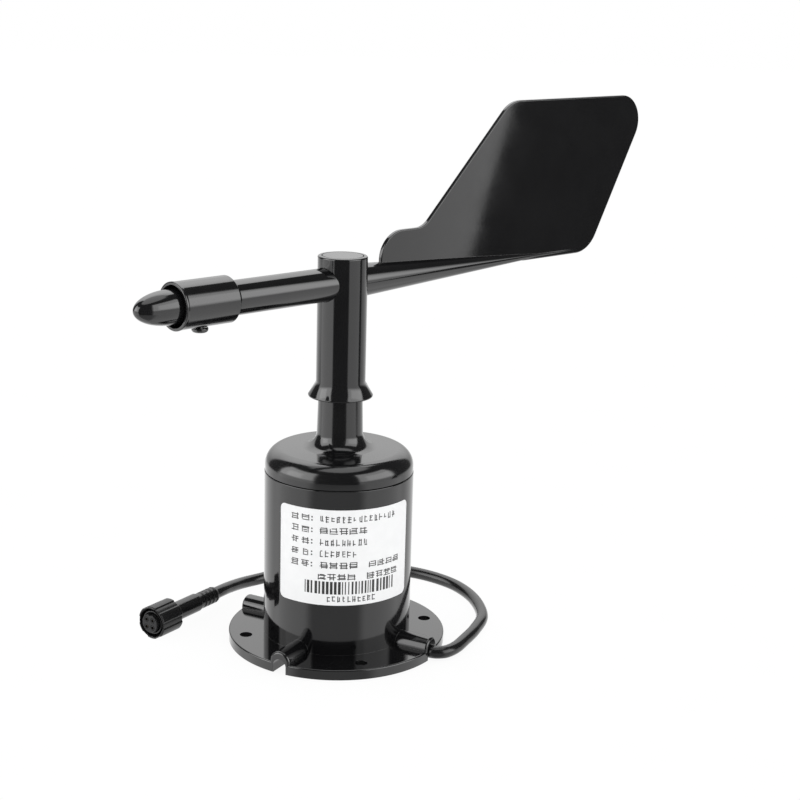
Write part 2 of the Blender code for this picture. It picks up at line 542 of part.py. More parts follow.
def make_cable():
    """Cable: down through the floor, round into its tunnel, and out along the ground."""
    outward = Vector((*polar(1.0, CABLE_ANGLE), 0.0))
    bend = Vector((0.0, 0.0, CABLE_RUN_Z + CABLE_BEND_R)) + outward * (CABLE_ENTRY_R + CABLE_BEND_R)
    path = [outward * CABLE_ENTRY_R + Vector((0.0, 0.0, CABLE_START_Z))]
    steps = 6
    for i in range(steps + 1):
        angle = math.radians(180.0 + 90.0 * i / steps)
        path.append(bend + CABLE_BEND_R * (outward * math.cos(angle)
                                           + Vector((0.0, 0.0, math.sin(angle)))))
    mouth = outward * CABLE_MOUTH_R + Vector((0.0, 0.0, CABLE_RUN_Z))
    plug_way = Vector((*polar(1.0, PLUG_ANGLE), 0.0))
    socket = Vector(PLUG_FACE) + plug_way * (PLUG_LENGTH - 2.0)
    turn = mouth + outward * 2.0 + Vector((*polar(1.0, CABLE_ANGLE + 90.0), 0.0)) * 0.55
    loop = smooth_path([tuple(mouth), tuple(turn)] + CABLE_LOOP + [tuple(socket)], 3)
    path += loop
    path.append(Vector(PLUG_FACE) + plug_way * (PLUG_LENGTH - 12.0))
    wire("cable", path, CABLE_R, BLACK_PVC, 1)
    make_wires()

    place = Vector((*polar(CABLE_ENTRY_R, CABLE_ANGLE), 0.0)) * MM
    bore, low, high = CABLE_R + GAP, FLOOR_BOTTOM - GAP, FLOOR_TOP + GAP
    collar, foot_r = 0.9, GROMMET_R - 0.4
    profile = [(bore + 0.6, high + collar + GAP), (GROMMET_R, high + collar), (GROMMET_R, high),
               (GROMMET_NECK_R, high), (GROMMET_NECK_R, low), (foot_r, low),
               (foot_r, low - collar), (bore + 1.1, low - collar), (bore, low + 2 * GAP),
               (bore, high + collar + GAP)]
    turned("cable_grommet", profile, COARSE, RUBBER).location = place
    tie = ring("cable_tie", bore, bore + 0.8, TIE_BOTTOM, TIE_TOP, COARSE, NYLON)
    tie.location = place
    lock_size = (2.6, 3.2, 2.6)
    lock = box("tie_lock", lock_size, (bore + 1.5, 0.0, (TIE_BOTTOM + TIE_TOP) / 2), cutter=True)
    lock.location = place
    combine(tie, lock, "UNION")


def make_label():
    """Thin label round the front of the housing."""
    steps = 15
    radius = BODY_R + LABEL_FIT
    label = turned("label", [(radius, LABEL_TOP), (radius, LABEL_BOTTOM)], steps, LABEL_WHITE,
                   sweep=LABEL_SWEEP)
    label.rotation_euler = (0.0, 0.0, math.radians(LABEL_ANGLE - LABEL_SWEEP / 2))
    skin = label.modifiers.new("Thickness", "SOLIDIFY")
    skin.thickness = LABEL_T * MM
    skin.offset = 1.0


def make_plug():
    """Waterproof plug: nut that turns on the body, socket insert, contacts and seal."""
    lie = Matrix.Rotation(math.radians(PLUG_ANGLE), 4, "Z") @ Matrix.Rotation(math.pi / 2, 4, "Y")
    axis = axis_empty("plug_axis", PLUG_FACE, lie.to_euler())

    profile = [(NUT_ROOT_R - LIP, NUT_LENGTH), (NUT_ROOT_R, NUT_LENGTH - LIP),
               (NUT_ROOT_R, LIP), (NUT_ROOT_R - LIP, 0.0), (NUT_BORE_R, 0.0),
               (NUT_BORE_R, NUT_WALL_START), (NUT_NECK_R, NUT_WALL_START),
               (NUT_NECK_R, NUT_LENGTH)]
    nut = turned("coupling_nut", profile, MIDDLE, DARK_PLASTIC, axis)
    inside = (NUT_BORE_R + NUT_ROOT_R) / 2
    for i in range(NUT_LANDS):
        first = 360.0 / NUT_LANDS * i - NUT_LAND_WIDTH / 2
        last = first + NUT_LAND_WIDTH
        outline = arc((0, 0), NUT_R, first, last, 3) + arc((0, 0), inside, last, first, 3)
        land = outline_solid(f"nut_land_{i}", outline, NUT_LENGTH - 2 * NUT_LAND_INSET,
                             cutter=True)
        land.parent = axis
        land.location = (0.0, 0.0, NUT_LENGTH / 2 * MM)
        combine(nut, land, "UNION")

    bore = CABLE_R + GAP
    profile = [(0.0, PLUG_BORE_START), (bore, PLUG_BORE_START), (bore, PLUG_LENGTH),
               (BOOT_R - LIP, PLUG_LENGTH), (BOOT_R, PLUG_LENGTH - 2 * LIP)]
    for i in range(BOOT_GROOVES):
        edge = PLUG_LENGTH - PAST - BOOT_PITCH * i
        profile += [(BOOT_R, edge), (BOOT_GROOVE_R, edge - 0.1), (BOOT_GROOVE_R, edge - 0.9),
                    (BOOT_R, edge - 1.0)]
    profile += [(BOOT_R, PLUG_STEP + 0.5), (PLUG_R - 0.1, PLUG_STEP), (PLUG_R, BARREL_END),
                (BARREL_R, BARREL_END), (BARREL_R, BARREL_START), (BARREL_INNER_R, BARREL_START),
                (BARREL_INNER_R, INSERT_END + GAP), (0.0, INSERT_END + GAP)]
    turned("plug_body", profile, COARSE, BLACK_PVC, axis)

    insert = cylinder("plug_insert", INSERT_R, INSERT_START, INSERT_END, COARSE, DARK_PLASTIC, axis)
    key = cylinder("insert_key", KEY_R, INSERT_START - PAST, INSERT_END + PAST, FINE_DRILL, None,
                   axis, cutter=True, at=polar(INSERT_R + GAP, 180.0))
    combine(insert, key, "DIFFERENCE")
    for i in range(4):
        place = polar(CONTACT_CIRCLE_R, 45.0 + 90.0 * i)
        hole = cylinder(f"contact_hole_{i}", CONTACT_HOLE_R, INSERT_START - PAST,
                        INSERT_END + PAST, FINE_DRILL, None, axis, cutter=True, at=place)
        combine(insert, hole, "DIFFERENCE")
        contact = ring(f"contact_{i + 1}", CONTACT_BORE_R, CONTACT_R, INSERT_START + CONTACT_DEPTH,
                       INSERT_END - GAP, FINE_DRILL, BRASS, axis)
        contact.location = Vector((*place, 0.0)) * MM
    ring("plug_seal", BARREL_R + SHAFT_FIT, NUT_BORE_R - SHAFT_FIT, PLUG_SEAL_START,
         PLUG_SEAL_END, MIDDLE, RUBBER, axis)


def make_hub(yaw):
    """Mast with a rain skirt over the neck, a brass bush inside and a cap on top."""
    ledge = CAP_BOTTOM - GAP
    profile = [(HUB_R - 0.5, HUB_TOP), (HUB_R - 0.15, HUB_TOP - 0.15), (HUB_R, HUB_TOP - 0.5),
               (HUB_R, SKIRT_TOP), (SKIRT_R, SKIRT_BOTTOM + 0.5), (SKIRT_R, SKIRT_BOTTOM + 0.2),
               (SKIRT_R - LIP, SKIRT_BOTTOM), (SKIRT_INNER_R, SKIRT_BOTTOM),
               (SKIRT_ROOT_R, WALL_TOP), (WALL_HOLE_R, WALL_TOP), (WALL_HOLE_R, BORE_BOTTOM),
               (HUB_BORE_R, BORE_BOTTOM), (HUB_BORE_R, ledge), (CAP_R + 0.2, ledge),
               (CAP_R + 0.2, HUB_TOP)]
    hub = turned("hub", profile, MIDDLE, BLACK_PLASTIC, yaw)
    tunnel = cylinder("arm_hole", ARM_HOLE_R, -SKIRT_R, SKIRT_R, MIDDLE, None, yaw, cutter=True)
    tunnel.rotation_euler = (0.0, math.pi / 2, 0.0)
    tunnel.location = (0.0, 0.0, ARM_Z * MM)
    combine(hub, tunnel, "DIFFERENCE")

    thread_r, bush_bottom, shaft_stop = HUB_SCREW_R + 0.35, BORE_BOTTOM + GAP, SHAFT_TOP + 0.5
    profile = [(BUSH_R, BUSH_TOP), (BUSH_R, bush_bottom), (SHAFT_R + GAP, bush_bottom),
               (SHAFT_R + GAP, shaft_stop), (thread_r, shaft_stop), (thread_r, BUSH_TOP)]
    turned("hub_insert", profile, COARSE, BRASS, yaw)
    profile = [(0.0, HUB_TOP), (CAP_R - 0.2, HUB_TOP), (CAP_R, HUB_TOP - 0.2),
               (CAP_R, CAP_BOTTOM), (0.0, CAP_BOTTOM)]
    turned("hub_cap", profile, MIDDLE, BLACK_PLASTIC, yaw)
    seat = SPOTFACE_Z + GAP
    head_r, head_h, tip = 3.2, 2.0, SHAFT_TOP + 1.5
    profile = [(0.0, seat + head_h), (head_r - 0.6, seat + head_h), (head_r, seat + head_h - 0.7),
               (head_r, seat), (HUB_SCREW_R, seat), (HUB_SCREW_R, tip + 0.4), (0.0, tip)]
    screw = turned("hub_screw", profile, COARSE, STEEL, yaw)
    slot = box("hub_screw_slot", (1.45 * head_r, 0.8, head_h), (0.0, 0.0, seat + 1.1 * head_h),
               None, yaw, cutter=True)
    combine(screw, slot, "DIFFERENCE")


def make_shaft(yaw):
    """Steel shaft through both bearings, with the sensing magnet in a holder at its foot."""
    profile = [(0.0, SHAFT_TOP), (SHAFT_R - 0.3, SHAFT_TOP), (SHAFT_R, SHAFT_TOP - 0.3),
               (SHAFT_R, SHAFT_BOTTOM + 0.3), (SHAFT_R - 0.3, SHAFT_BOTTOM), (0.0, SHAFT_BOTTOM)]
    turned("shaft", profile, COARSE, STEEL, yaw)
    web = MAGNET_TOP + GAP
    profile = [(0.0, SHAFT_BOTTOM - GAP), (SHAFT_R + 0.2, SHAFT_BOTTOM - GAP),
               (SHAFT_R + 0.2, HOLDER_TOP), (HOLDER_R, HOLDER_TOP), (HOLDER_R, MAGNET_BOTTOM),
               (MAGNET_R + 0.25, MAGNET_BOTTOM), (MAGNET_R + 0.25, web), (0.0, web)]
    turned("magnet_holder", profile, COARSE, DARK_PLASTIC, yaw)
    cylinder("magnet", MAGNET_R, MAGNET_BOTTOM + 0.1, MAGNET_TOP, COARSE, MAGNET_GREY, yaw)


def make_vane(yaw):
    """Arm, tapered boom and tail fin in one moulding, and the weighted nose screwed to it."""
    along = axis_empty("arm_axis", (0.0, 0.0, ARM_Z), (0.0, math.pi / 2, 0.0))
    along.parent = yaw
    hole_end = NOSE_JOINT + STUD_HOLE_DEPTH
    profile = [(0.0, BOOM_END), (BOOM_TIP_R, BOOM_END), (ARM_R, BOOM_START),
               (ARM_R, NOSE_JOINT), (STUD_HOLE_R, NOSE_JOINT), (STUD_HOLE_R, hole_end),
               (0.0, hole_end)]
    vane = turned("vane", profile, MIDDLE, BLACK_PLASTIC, along)
    fin = outline_solid("fin", rounded(FIN_CORNERS), FIN_T, cutter=True)
    fin.rotation_euler = (math.pi / 2, 0.0, 0.0)
    combine(vane, fin, "UNION")
    drill = cylinder("arm_screw_hole", ARM_SCREW_HOLE_R, ARM_Z - ARM_R - PAST,
                     ARM_Z + ARM_R + PAST, COARSE, None, yaw, cutter=True)
    combine(vane, drill, "DIFFERENCE")
    spot = cylinder("arm_spotface", SPOTFACE_R, SPOTFACE_Z, ARM_Z + ARM_R + PAST, COARSE, None, yaw,
                    cutter=True)
    combine(vane, spot, "DIFFERENCE")

    stud_end, base_r, steps = NOSE_JOINT + STUD_LENGTH, ARM_R - 0.1, 7
    profile = [(0.0, stud_end), (STUD_R - LIP, stud_end), (STUD_R, stud_end - LIP),
               (STUD_R, NOSE_JOINT - GAP), (base_r, NOSE_JOINT - GAP)]
    for i in range(steps):
        angle = math.pi / 2 * i / steps
        profile.append((base_r * math.cos(angle),
                        NOSE_TIP + NOSE_LENGTH * (1.0 - math.sin(angle))))
    profile.append((0.0, NOSE_TIP))
    turned("nose_weight", profile, MIDDLE, BLACK_METAL, along)
    return along


def make_sleeve(along, yaw):
    """Balance sleeve that slides on the arm, locked by a screw from below."""
    bead_r, bead_end = SLEEVE_R + SLEEVE_BEAD, SLEEVE_FRONT + SLEEVE_BEAD_LENGTH
    profile = [(SLEEVE_BORE_R + 0.25, SLEEVE_BACK), (SLEEVE_R, SLEEVE_SHOULDER),
               (SLEEVE_R, bead_end + LIP), (bead_r, bead_end), (bead_r, SLEEVE_FRONT),
               (SLEEVE_MOUTH_R, SLEEVE_FRONT), (SLEEVE_MOUTH_R, SLEEVE_STEP),
               (SLEEVE_BORE_R, SLEEVE_STEP), (SLEEVE_BORE_R, SLEEVE_BACK)]
    sleeve = turned("balance_sleeve", profile, MIDDLE, BLACK_PLASTIC, along)
    below = ARM_Z - SLEEVE_R
    wall = SLEEVE_R - SLEEVE_BORE_R
    place = (SLEEVE_SCREW_X, 0.0)
    drill = cylinder("sleeve_hole", SLEEVE_HOLE_R, below - PAST, below + wall + PAST, COARSE, None,
                     yaw, cutter=True, at=place)
    combine(sleeve, drill, "DIFFERENCE")
    seat = below - GAP
    foot, tip = seat - SLEEVE_HEAD_H, below + wall - 0.1
    profile = [(0.0, tip), (SLEEVE_SCREW_R, tip), (SLEEVE_SCREW_R, seat), (SLEEVE_HEAD_R, seat),
               (SLEEVE_HEAD_R, foot + 0.65), (SLEEVE_HEAD_R - 0.6, foot), (0.0, foot)]
    screw = turned("sleeve_screw", profile, COARSE, BLACK_METAL, yaw)
    screw.location = Vector((place[0], 0.0, 0.0)) * MM
    slot = box("sleeve_screw_slot", (1.2 * SLEEVE_HEAD_R, 0.7, 1.4), (place[0], 0.0, foot - 0.15),
               None, yaw, cutter=True)
    combine(screw, slot, "DIFFERENCE")


def build():
    yaw = axis_empty("yaw_axis", (0.0, 0.0, 0.0))
    make_housing()
    make_cover()
    make_cover_screws()
    make_bearing("lower", LOWER_BEARING_Z, yaw)
    make_bearing("upper", UPPER_BEARING_Z, yaw)
    make_bearing_fittings(yaw)
    make_board()
    make_cable()
    make_label()
    make_plug()
    make_hub(yaw)
    make_shaft(yaw)
    along = make_vane(yaw)
    make_sleeve(along, yaw)


build()
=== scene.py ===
"""Looks of the wind direction sensor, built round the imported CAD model.

Sizes below are millimetres in the CAD's frame: the origin is on the vane's turning axis at the
underside of the flange, +Z is up, the weighted nose points to -X and the tail fin to +X.
"""
import math
import random

import bmesh
import bpy
from mathutils import Matrix, Vector


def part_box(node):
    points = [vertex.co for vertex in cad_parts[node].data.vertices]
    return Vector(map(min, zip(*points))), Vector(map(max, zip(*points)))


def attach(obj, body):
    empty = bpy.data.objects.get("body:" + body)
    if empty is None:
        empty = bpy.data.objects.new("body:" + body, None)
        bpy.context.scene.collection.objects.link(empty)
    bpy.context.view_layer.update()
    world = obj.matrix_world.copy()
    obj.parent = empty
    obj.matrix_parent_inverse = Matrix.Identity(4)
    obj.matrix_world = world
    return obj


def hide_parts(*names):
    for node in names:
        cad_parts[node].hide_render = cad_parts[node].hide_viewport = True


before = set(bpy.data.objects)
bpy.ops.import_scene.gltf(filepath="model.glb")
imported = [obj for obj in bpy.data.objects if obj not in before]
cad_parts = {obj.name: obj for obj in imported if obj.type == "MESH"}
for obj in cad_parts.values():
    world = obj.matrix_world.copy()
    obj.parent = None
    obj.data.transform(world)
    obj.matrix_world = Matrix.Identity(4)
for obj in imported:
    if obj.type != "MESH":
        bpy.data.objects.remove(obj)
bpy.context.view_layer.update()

MM = 0.001


def corners(node):
    """Lowest and highest corner of a CAD node, in millimetres."""
    low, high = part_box(node)
    return low / MM, high / MM


# Segments round a large, medium and small turned piece
LARGE, MEDIUM, SMALL = 192, 128, 64
WELD, CURVE_WELD = 0.0001, 0.001         # points nearer than this are one point
CREASE = 32.0                            # a sharper fold than this is an edge, in degrees

# Housing and flange
FLANGE_R = corners("housing")[1].x
HOUSING_TOP = corners("housing")[1].z
FLANGE_TOP = 3.6
BODY_R, CAVITY_R, RECESS_R, BOSS_R = 25.75, 23.3, 22.5, 5.5
FLOOR_BOTTOM, FLOOR_TOP = 7.5, 10.0
RIB_WIDTH, RIB_FOOT_Z = 2.4, 0.4
MOUNT_CIRCLE_R, MOUNT_HOLE_R, MOUNT_ANGLE = 32.6, 2.15, 63.6
TUNNEL_ANGLE, TUNNEL_R, TUNNEL_TOP, TUNNEL_FOOT, TUNNEL_RIM = 18.6, 3.8, 7.7, 1.2, 0.9
CHANNEL_R, CHANNEL_TOP, CHANNEL_RIM = 2.5, 5.1, 0.1
CABLE_ANGLE = TUNNEL_ANGLE - 90.0
SCREW_CIRCLE_R, SCREW_HOLE_R = 18.8, 1.75
SCREW_ANGLES = [CABLE_ANGLE + 60.0 + 120.0 * i for i in range(3)]
PILLAR_TOP, PILLAR_R, PILLAR_GAP = 56.0, 3.6, 0.3
POST_CIRCLE_R, POST_R, POST_TOP = 11.5, 2.3, 36.7
CABLE_ENTRY_R, ENTRY_HOLE_R = 11.0, 3.9
BEYOND = 1.0                             # how far a cutter or a joined piece runs past a surface

# Cover with its neck
COVER_R = corners("top_cover")[1].x
NECK_TOP_Z = corners("top_cover")[1].z
COVER_BOTTOM = 62.1
EDGE_R, EDGE_Z, TOP_SLOPE, COVER_WALL = 5.8, 64.2, 3.0, 2.2
NECK_FOOT_R, FOOT_FILLET, NECK_TOP_R = 7.93, 5.5, 7.55
TUBE_R, TUBE_BOTTOM = 7.4, 50.0
SPIGOT_OUTER_R, SPIGOT_INNER_R, SPIGOT_BOTTOM = 22.9, 20.8, 58.0
SEAL_Z, SEAL_GROOVE, GROOVE_DEPTH = 60.0, 0.8, 1.05
SEAT_R, SHOULDER_R = 5.75, 4.6
LOWER_SHOULDER_Z, UPPER_SHOULDER_Z = 58.8, 85.2
COVER_BOSS_R, COVER_BOSS_TOP, COVER_HOLE_TOP = 2.95, 68.5, 67.0

# Hub, arm, fin and nose
HUB_R, HUB_TOP = 8.45, corners("hub")[1].z
SKIRT_R, SKIRT_BOTTOM = corners("hub")[1].x, corners("hub")[0].z
SKIRT_TOP = 93.4
CAP_R, CAP_BOTTOM, CAP_GROOVE = 6.85, 134.4, 0.28
HUB_BORE_R, CORE_R, CORE_BOTTOM, CORE_TOP = 4.3, 2.6, 91.7, 94.5
SKIRT_INNER_R, SKIRT_ROOF_R = 10.0, 8.1
ARM_R, ARM_Z, ARM_HOLE_R = 5.67, 127.4, 5.74
BOOM_START, BOOM_END, BOOM_TIP_R = 8.4, 98.5, 0.85
FIN_T, FIN_TOP = 1.7, corners("vane")[1].z
FIN_CORNERS = [                          # (x, z, corner radius), anticlockwise seen from -Y
    (16.9, ARM_Z, 0), (80.0, ARM_Z, 0), (88.6, 126.0, 0), (126.0, 126.0, 12.5),
    (158.9, FIN_TOP, 10.1), (78.9, FIN_TOP, 12.0), (36.9, 143.0, 8.0), (16.9, 143.0, 10.0)]
NOSE_JOINT, NOSE_TIP, NOSE_LENGTH = -57.6, corners("nose_weight")[0].x, 12.7
STUD_R, STUD_LENGTH, STUD_HOLE_R, STUD_HOLE_DEPTH = 2.5, 12.5, 2.8, 13.0
HUB_SCREW_HOLE_R, SPOTFACE_R, SPOTFACE_Z = 1.6, 3.8, 131.6

# Balance sleeve on the arm, with its screw below
SLEEVE_R, SLEEVE_BORE_R, SLEEVE_MOUTH_R = 7.63, 5.95, 6.7
SLEEVE_FRONT, SLEEVE_BACK = corners("balance_sleeve")[0].x, corners("balance_sleeve")[1].x
SLEEVE_STEP, SLEEVE_SHOULDER, SLEEVE_SCREW_X = -60.0, -48.7, -59.0
SLEEVE_HOLE_R, SCREW_SHANK_R, SCREW_HEAD_R, SCREW_DOME_R = 1.5, 1.2, 2.7, 1.0

# Cable and plug: plug lengths run along its axis from the front face
CABLE_R, CABLE_START_Z, CABLE_RUN_Z, CABLE_BEND_R, CABLE_MOUTH_R = 2.2, 18.0, 2.45, 5.0, 37.6
CABLE_LOOP = [                           # where the cable lies after it leaves the flange
    (16.2, -38.9, 2.4), (21.5, -38.3, 2.3), (28.7, -35.6, 2.3), (38.0, -31.5, 2.3),
    (48.8, -24.7, 2.3), (57.6, -13.0, 2.3), (62.4, -1.0, 2.3), (63.4, 10.0, 2.3),
    (60.8, 22.5, 2.3), (53.5, 36.0, 2.3), (41.0, 47.5, 2.3), (25.0, 54.6, 2.3),
    (9.6, 56.0, 2.4), (0.5, 54.7, 3.4), (-8.3, 51.3, 4.9), (-14.6, 48.5, 5.8)]
PLUG_FACE, PLUG_ANGLE = (-51.9, 39.2, 6.0), 13.2
NUT_R, NUT_ROOT_R, NUT_LENGTH = 5.95, 5.6, 10.4
NUT_BORE_R, NUT_WALL_START, NUT_NECK_R, NUT_LANDS = 5.1, 8.6, 3.75, 6
BARREL_R, BARREL_INNER_R, BARREL_START, BARREL_END = 4.3, 3.75, 0.6, 8.2
PLUG_R, PLUG_STEP, PLUG_LENGTH, PLUG_BORE_START = 3.35, 23.8, 34.2, 20.2
BOOT_R, BOOT_END_R, BOOT_ROOT_R, BOOT_RIM = 3.0, 2.85, 2.6, 0.12
BOOT_GROOVES, BOOT_FIRST, BOOT_PITCH, BOOT_GROOVE = 4, 1.1, 2.1, 0.9
INSERT_R, INSERT_START, INSERT_END = 3.4, -0.8, 7.3
CONTACT_CIRCLE_R, CONTACT_R, CONTACT_ANGLE, COLLAR_R = 1.9, 0.5, 45.0, 0.85

# Label round the front of the housing
LABEL_ANGLE, LABEL_WIDTH, LABEL_CORNER = -124.1, 50.0, 2.0
LABEL_BOTTOM, LABEL_TOP, LABEL_T = 21.8, 55.5, 0.12
PRINT_T, PRINT_GAP, PRINT_CELL = 0.02, 0.005, 0.8
LABEL_INNER_R = BODY_R + 0.03

# Camera: where its eye is, and how it is turned
VIEW_AZIMUTH, EYE_DISTANCE, EYE_HEIGHT = -41.43, 535.7, 228.2
AIM_RIGHT, AIM_DOWN, CAMERA_ROLL, LENS = 2.18, 14.76, 1.55, 72.9

# Studio seen in the glossy surfaces. Angles: degrees to the right of the camera, and upward
DARK = 0.12                              # black screens: in front, and between the panels
SOFTBOXES = [                            # (left, right, bottom, top, brightness)
    (-101.0, -39.0, 0.0, 44.0, 4.4), (-87.0, -60.0, 4.0, 30.0, 1.7),
    (31.0, 92.0, 0.0, 46.0, 3.6), (44.0, 88.0, 5.0, 32.0, 1.4),
    (-200.0, 200.0, 66.0, 99.0, 2.2)]
TABLES = [                               # pale surfaces below the softboxes and behind the object
    (-106.0, -39.0, -99.0, 0.0, 2.0), (-200.0, -106.0, -99.0, -8.0, 1.3),
    (100.0, 200.0, -99.0, -8.0, 1.05), (31.0, 100.0, -99.0, -14.0, 1.5)]
SIDE_TABLE = (31.0, 89.2, -14.0, 0.0)    # left, right, bottom and top of the right-hand one
SIDE_GLOW, SIDE_GLOW_RUN = (1.45, 2.15), 5.0    # its brightness rises over the last degrees
SIDE_LEAN, SIDE_EDGE = 0.23, 0.1         # lean and softness of its far edge
BACKDROP = (140.0, 56.0)                 # its edge from the front, and where it starts to widen
BACKDROP_SHIFT = -3.0                    # how far its middle stands to the side
BACKDROP_SPAN = (-8.0, 65.0)             # where it begins and ends
BACKDROP_LOW = (0.0, 27.0, 0.7, 1.75)    # its brightness eases over these angles, from and to
BACKDROP_HIGH = (23.0, 54.0, 0.0, 2.0)   # added to it toward the top
SOFT_EDGE, SHEEN_EDGE = 3.0, 9.0         # softness of a panel's edges and of a floor sheen's
SOFT_LIGHT = 1.05                        # brightness of the room on matt surfaces
FLOOR_GLOW, FLOOR_EDGE = 0.7, (225.0, 255.0)
FLOOR_MATT, MATT_FADE = 0.12, (20.0, 80.0)    # matt share below the object, and where it fades
STUDIO_FLOOR = (4000.0, -4.0, -0.02)     # radius, underside and top
FLOOR_SHEENS = [                         # added where the floor mirrors toward the pale surfaces
    (-112.0, -46.0, -99.0, 0.0, 1.05), (38.0, 112.0, -99.0, 0.0, 0.9),
    (-220.0, -112.0, -99.0, 0.0, 0.6), (112.0, 220.0, -99.0, 0.0, 0.4)]


# ---------------------------------------------------------------- shapes

def new_object(name, mesh):
    """Object of a mesh, linked to the scene."""
    obj = bpy.data.objects.new(name, mesh)
    bpy.context.scene.collection.objects.link(obj)
    return obj


def from_shape(name, shape):
    """Object of a finished shape, its faces turned outward."""
    bmesh.ops.recalc_face_normals(shape, faces=shape.faces)
    mesh = bpy.data.meshes.new(name)
    shape.to_mesh(mesh)
    shape.free()
    return new_object(name, mesh)


def loft(name, rings, ends="caps"):
    """Mesh through equal rings of points. Its ends are capped, joined to each other, or points."""
    shape = bmesh.new()
    loops = [[shape.verts.new(Vector(point) * MM) for point in ring] for ring in rings]
    pairs = list(zip(loops, loops[1:]))
    if ends == "joined":
        pairs.append((loops[-1], loops[0]))
    if ends == "caps":
        shape.faces.new(loops[0])
        shape.faces.new(loops[-1])
    for one, other in pairs:
        for k in range(len(one)):
            shape.faces.new((one[k - 1], one[k], other[k], other[k - 1]))
    bmesh.ops.remove_doubles(shape, verts=shape.verts, dist=WELD * MM)
    return from_shape(name, shape)


def turned(name, profile, segments, place=None):
    """Turns (radius, height) points about Z. A profile off the axis closes on itself."""
    rings = []
    for radius, height in profile:
        ring = []
        for k in range(segments):
            angle = 2 * math.pi * k / segments
            ring.append((radius * math.cos(angle), radius * math.sin(angle), height))
        rings.append(ring)
    obj = loft(name, rings, "joined" if profile[0][0] > 0 else "points")
    if place is not None:
        obj.data.transform(place)
    return obj


def arc(centre, radius, first, last, steps):
    """Points along an arc between two angles in degrees."""
    points = []
    for i in range(steps + 1):
        angle = math.radians(first + (last - first) * i / steps)
        points.append((centre[0] + radius * math.cos(angle), centre[1] + radius * math.sin(angle)))
    return points


def polar(radius, degrees, height=0.0):
    """Point round the turning axis."""
    angle = math.radians(degrees)
    return Vector((radius * math.cos(angle), radius * math.sin(angle), height))


def at(point, degrees=0.0):
    """Matrix that turns a piece about Z and moves it to a point in millimetres."""
    return Matrix.Translation(Vector(point) * MM) @ Matrix.Rotation(math.radians(degrees), 4, "Z")


def cylinder(name, radius, bottom, top, place=None, segments=SMALL):
    """Plain upright cylinder, used to cut or to build."""
    profile = [(0.0, bottom), (radius, bottom), (radius, top), (0.0, top)]
    return turned(name, profile, segments, place)


def rounded(points):
    """Closed outline whose corners (x, y, radius) are rounded by tangent arcs."""
    step_degrees = 4.0
    outline = []
    for i, (x, y, radius) in enumerate(points):
        here = Vector((x, y))
        before = (Vector(points[i - 1][:2]) - here).normalized()
        after = (Vector(points[(i + 1) % len(points)][:2]) - here).normalized()
        if radius == 0:
            outline.append((x, y))
            continue
        half = before.angle(after) / 2
        centre = here + (before + after).normalized() * radius / math.sin(half)
        first = here + before * radius / math.tan(half) - centre
        last = here + after * radius / math.tan(half) - centre
        swing = first.angle_signed(last)
        count = max(2, round(math.degrees(abs(swing)) / step_degrees))
        for k in range(count + 1):
            outline.append(tuple(centre + Matrix.Rotation(-swing * k / count, 2) @ first))
    return outline


def from_curve(name, curve):
    """Closed mesh object made from a curve."""
    source = new_object(name + "_curve", curve)
    graph = bpy.context.evaluated_depsgraph_get()
    mesh = bpy.data.meshes.new_from_object(source.evaluated_get(graph))
    shape = bmesh.new()
    shape.from_mesh(mesh)
    bmesh.ops.remove_doubles(shape, verts=shape.verts, dist=CURVE_WELD * MM)
    bpy.data.objects.remove(source, do_unlink=True)
    bpy.data.meshes.remove(mesh)
    return from_shape(name, shape)


def plate(name, outline, thickness, rounding):
    """Flat outline in local XY, thickened both ways along Z, with its rim rounded over."""
    curve = bpy.data.curves.new(name, "CURVE")
    curve.dimensions = "2D"
    curve.fill_mode = "BOTH"
    curve.extrude = (thickness / 2 - rounding) * MM
    curve.bevel_depth = rounding * MM
    curve.bevel_resolution = 3
    curve.offset = -rounding * MM
    spline = curve.splines.new("POLY")
    spline.points.add(len(outline) - 1)
    for point, (x, y) in zip(spline.points, outline):
        point.co = (x * MM, y * MM, 0.0, 1.0)
    spline.use_cyclic_u = True
    return from_curve(name, curve)


def tube(name, path, radius):
    """Round cord along a path, with closed ends."""
    curve = bpy.data.curves.new(name, "CURVE")
    curve.dimensions = "3D"
    curve.bevel_depth = radius * MM
    curve.bevel_resolution = 8
    curve.use_fill_caps = True
    spline = curve.splines.new("POLY")
    spline.points.add(len(path) - 1)
    for point, place in zip(spline.points, path):
        point.co = (*(Vector(place) * MM), 1.0)
    return from_curve(name, curve)


def smooth_path(points, per_span):
    """Catmull-Rom curve through the points."""
    path = []
    ends = [points[0]] + points + [points[-1]]
    for i in range(len(points) - 1):
        a, b, c, d = (Vector(p) for p in ends[i:i + 4])
        for k in range(per_span):
            t = k / per_span
            path.append(0.5 * (2 * b + (c - a) * t + (2 * a - 5 * b + 4 * c - d) * t ** 2
                               + (3 * b - a - 3 * c + d) * t ** 3))
    path.append(Vector(points[-1]))
    return path


def bar(name, radius, top, bottom, inner, outer, rounding, degrees):
    """Half-round bar lying along a radius of the flange, its outer end rounded over."""
    spring, steps = top - radius, 6
    stations = [(inner, 0.0)]
    for i in range(steps + 1):
        angle = math.radians(90.0 * i / steps)
        reach = outer - rounding + rounding * math.sin(angle)
        stations.append((reach, rounding * (1.0 - math.cos(angle))))
    rings = []
    for reach, shrink in stations:
        ring = [(reach, y, z) for y, z in arc((0.0, spring), radius - shrink, 0, 180, 32)]
        ring += [(reach, shrink - radius, bottom), (reach, radius - shrink, bottom)]
        rings.append(ring)
    obj = loft(name, rings)
    obj.data.transform(at((0, 0, 0), degrees))
    return obj


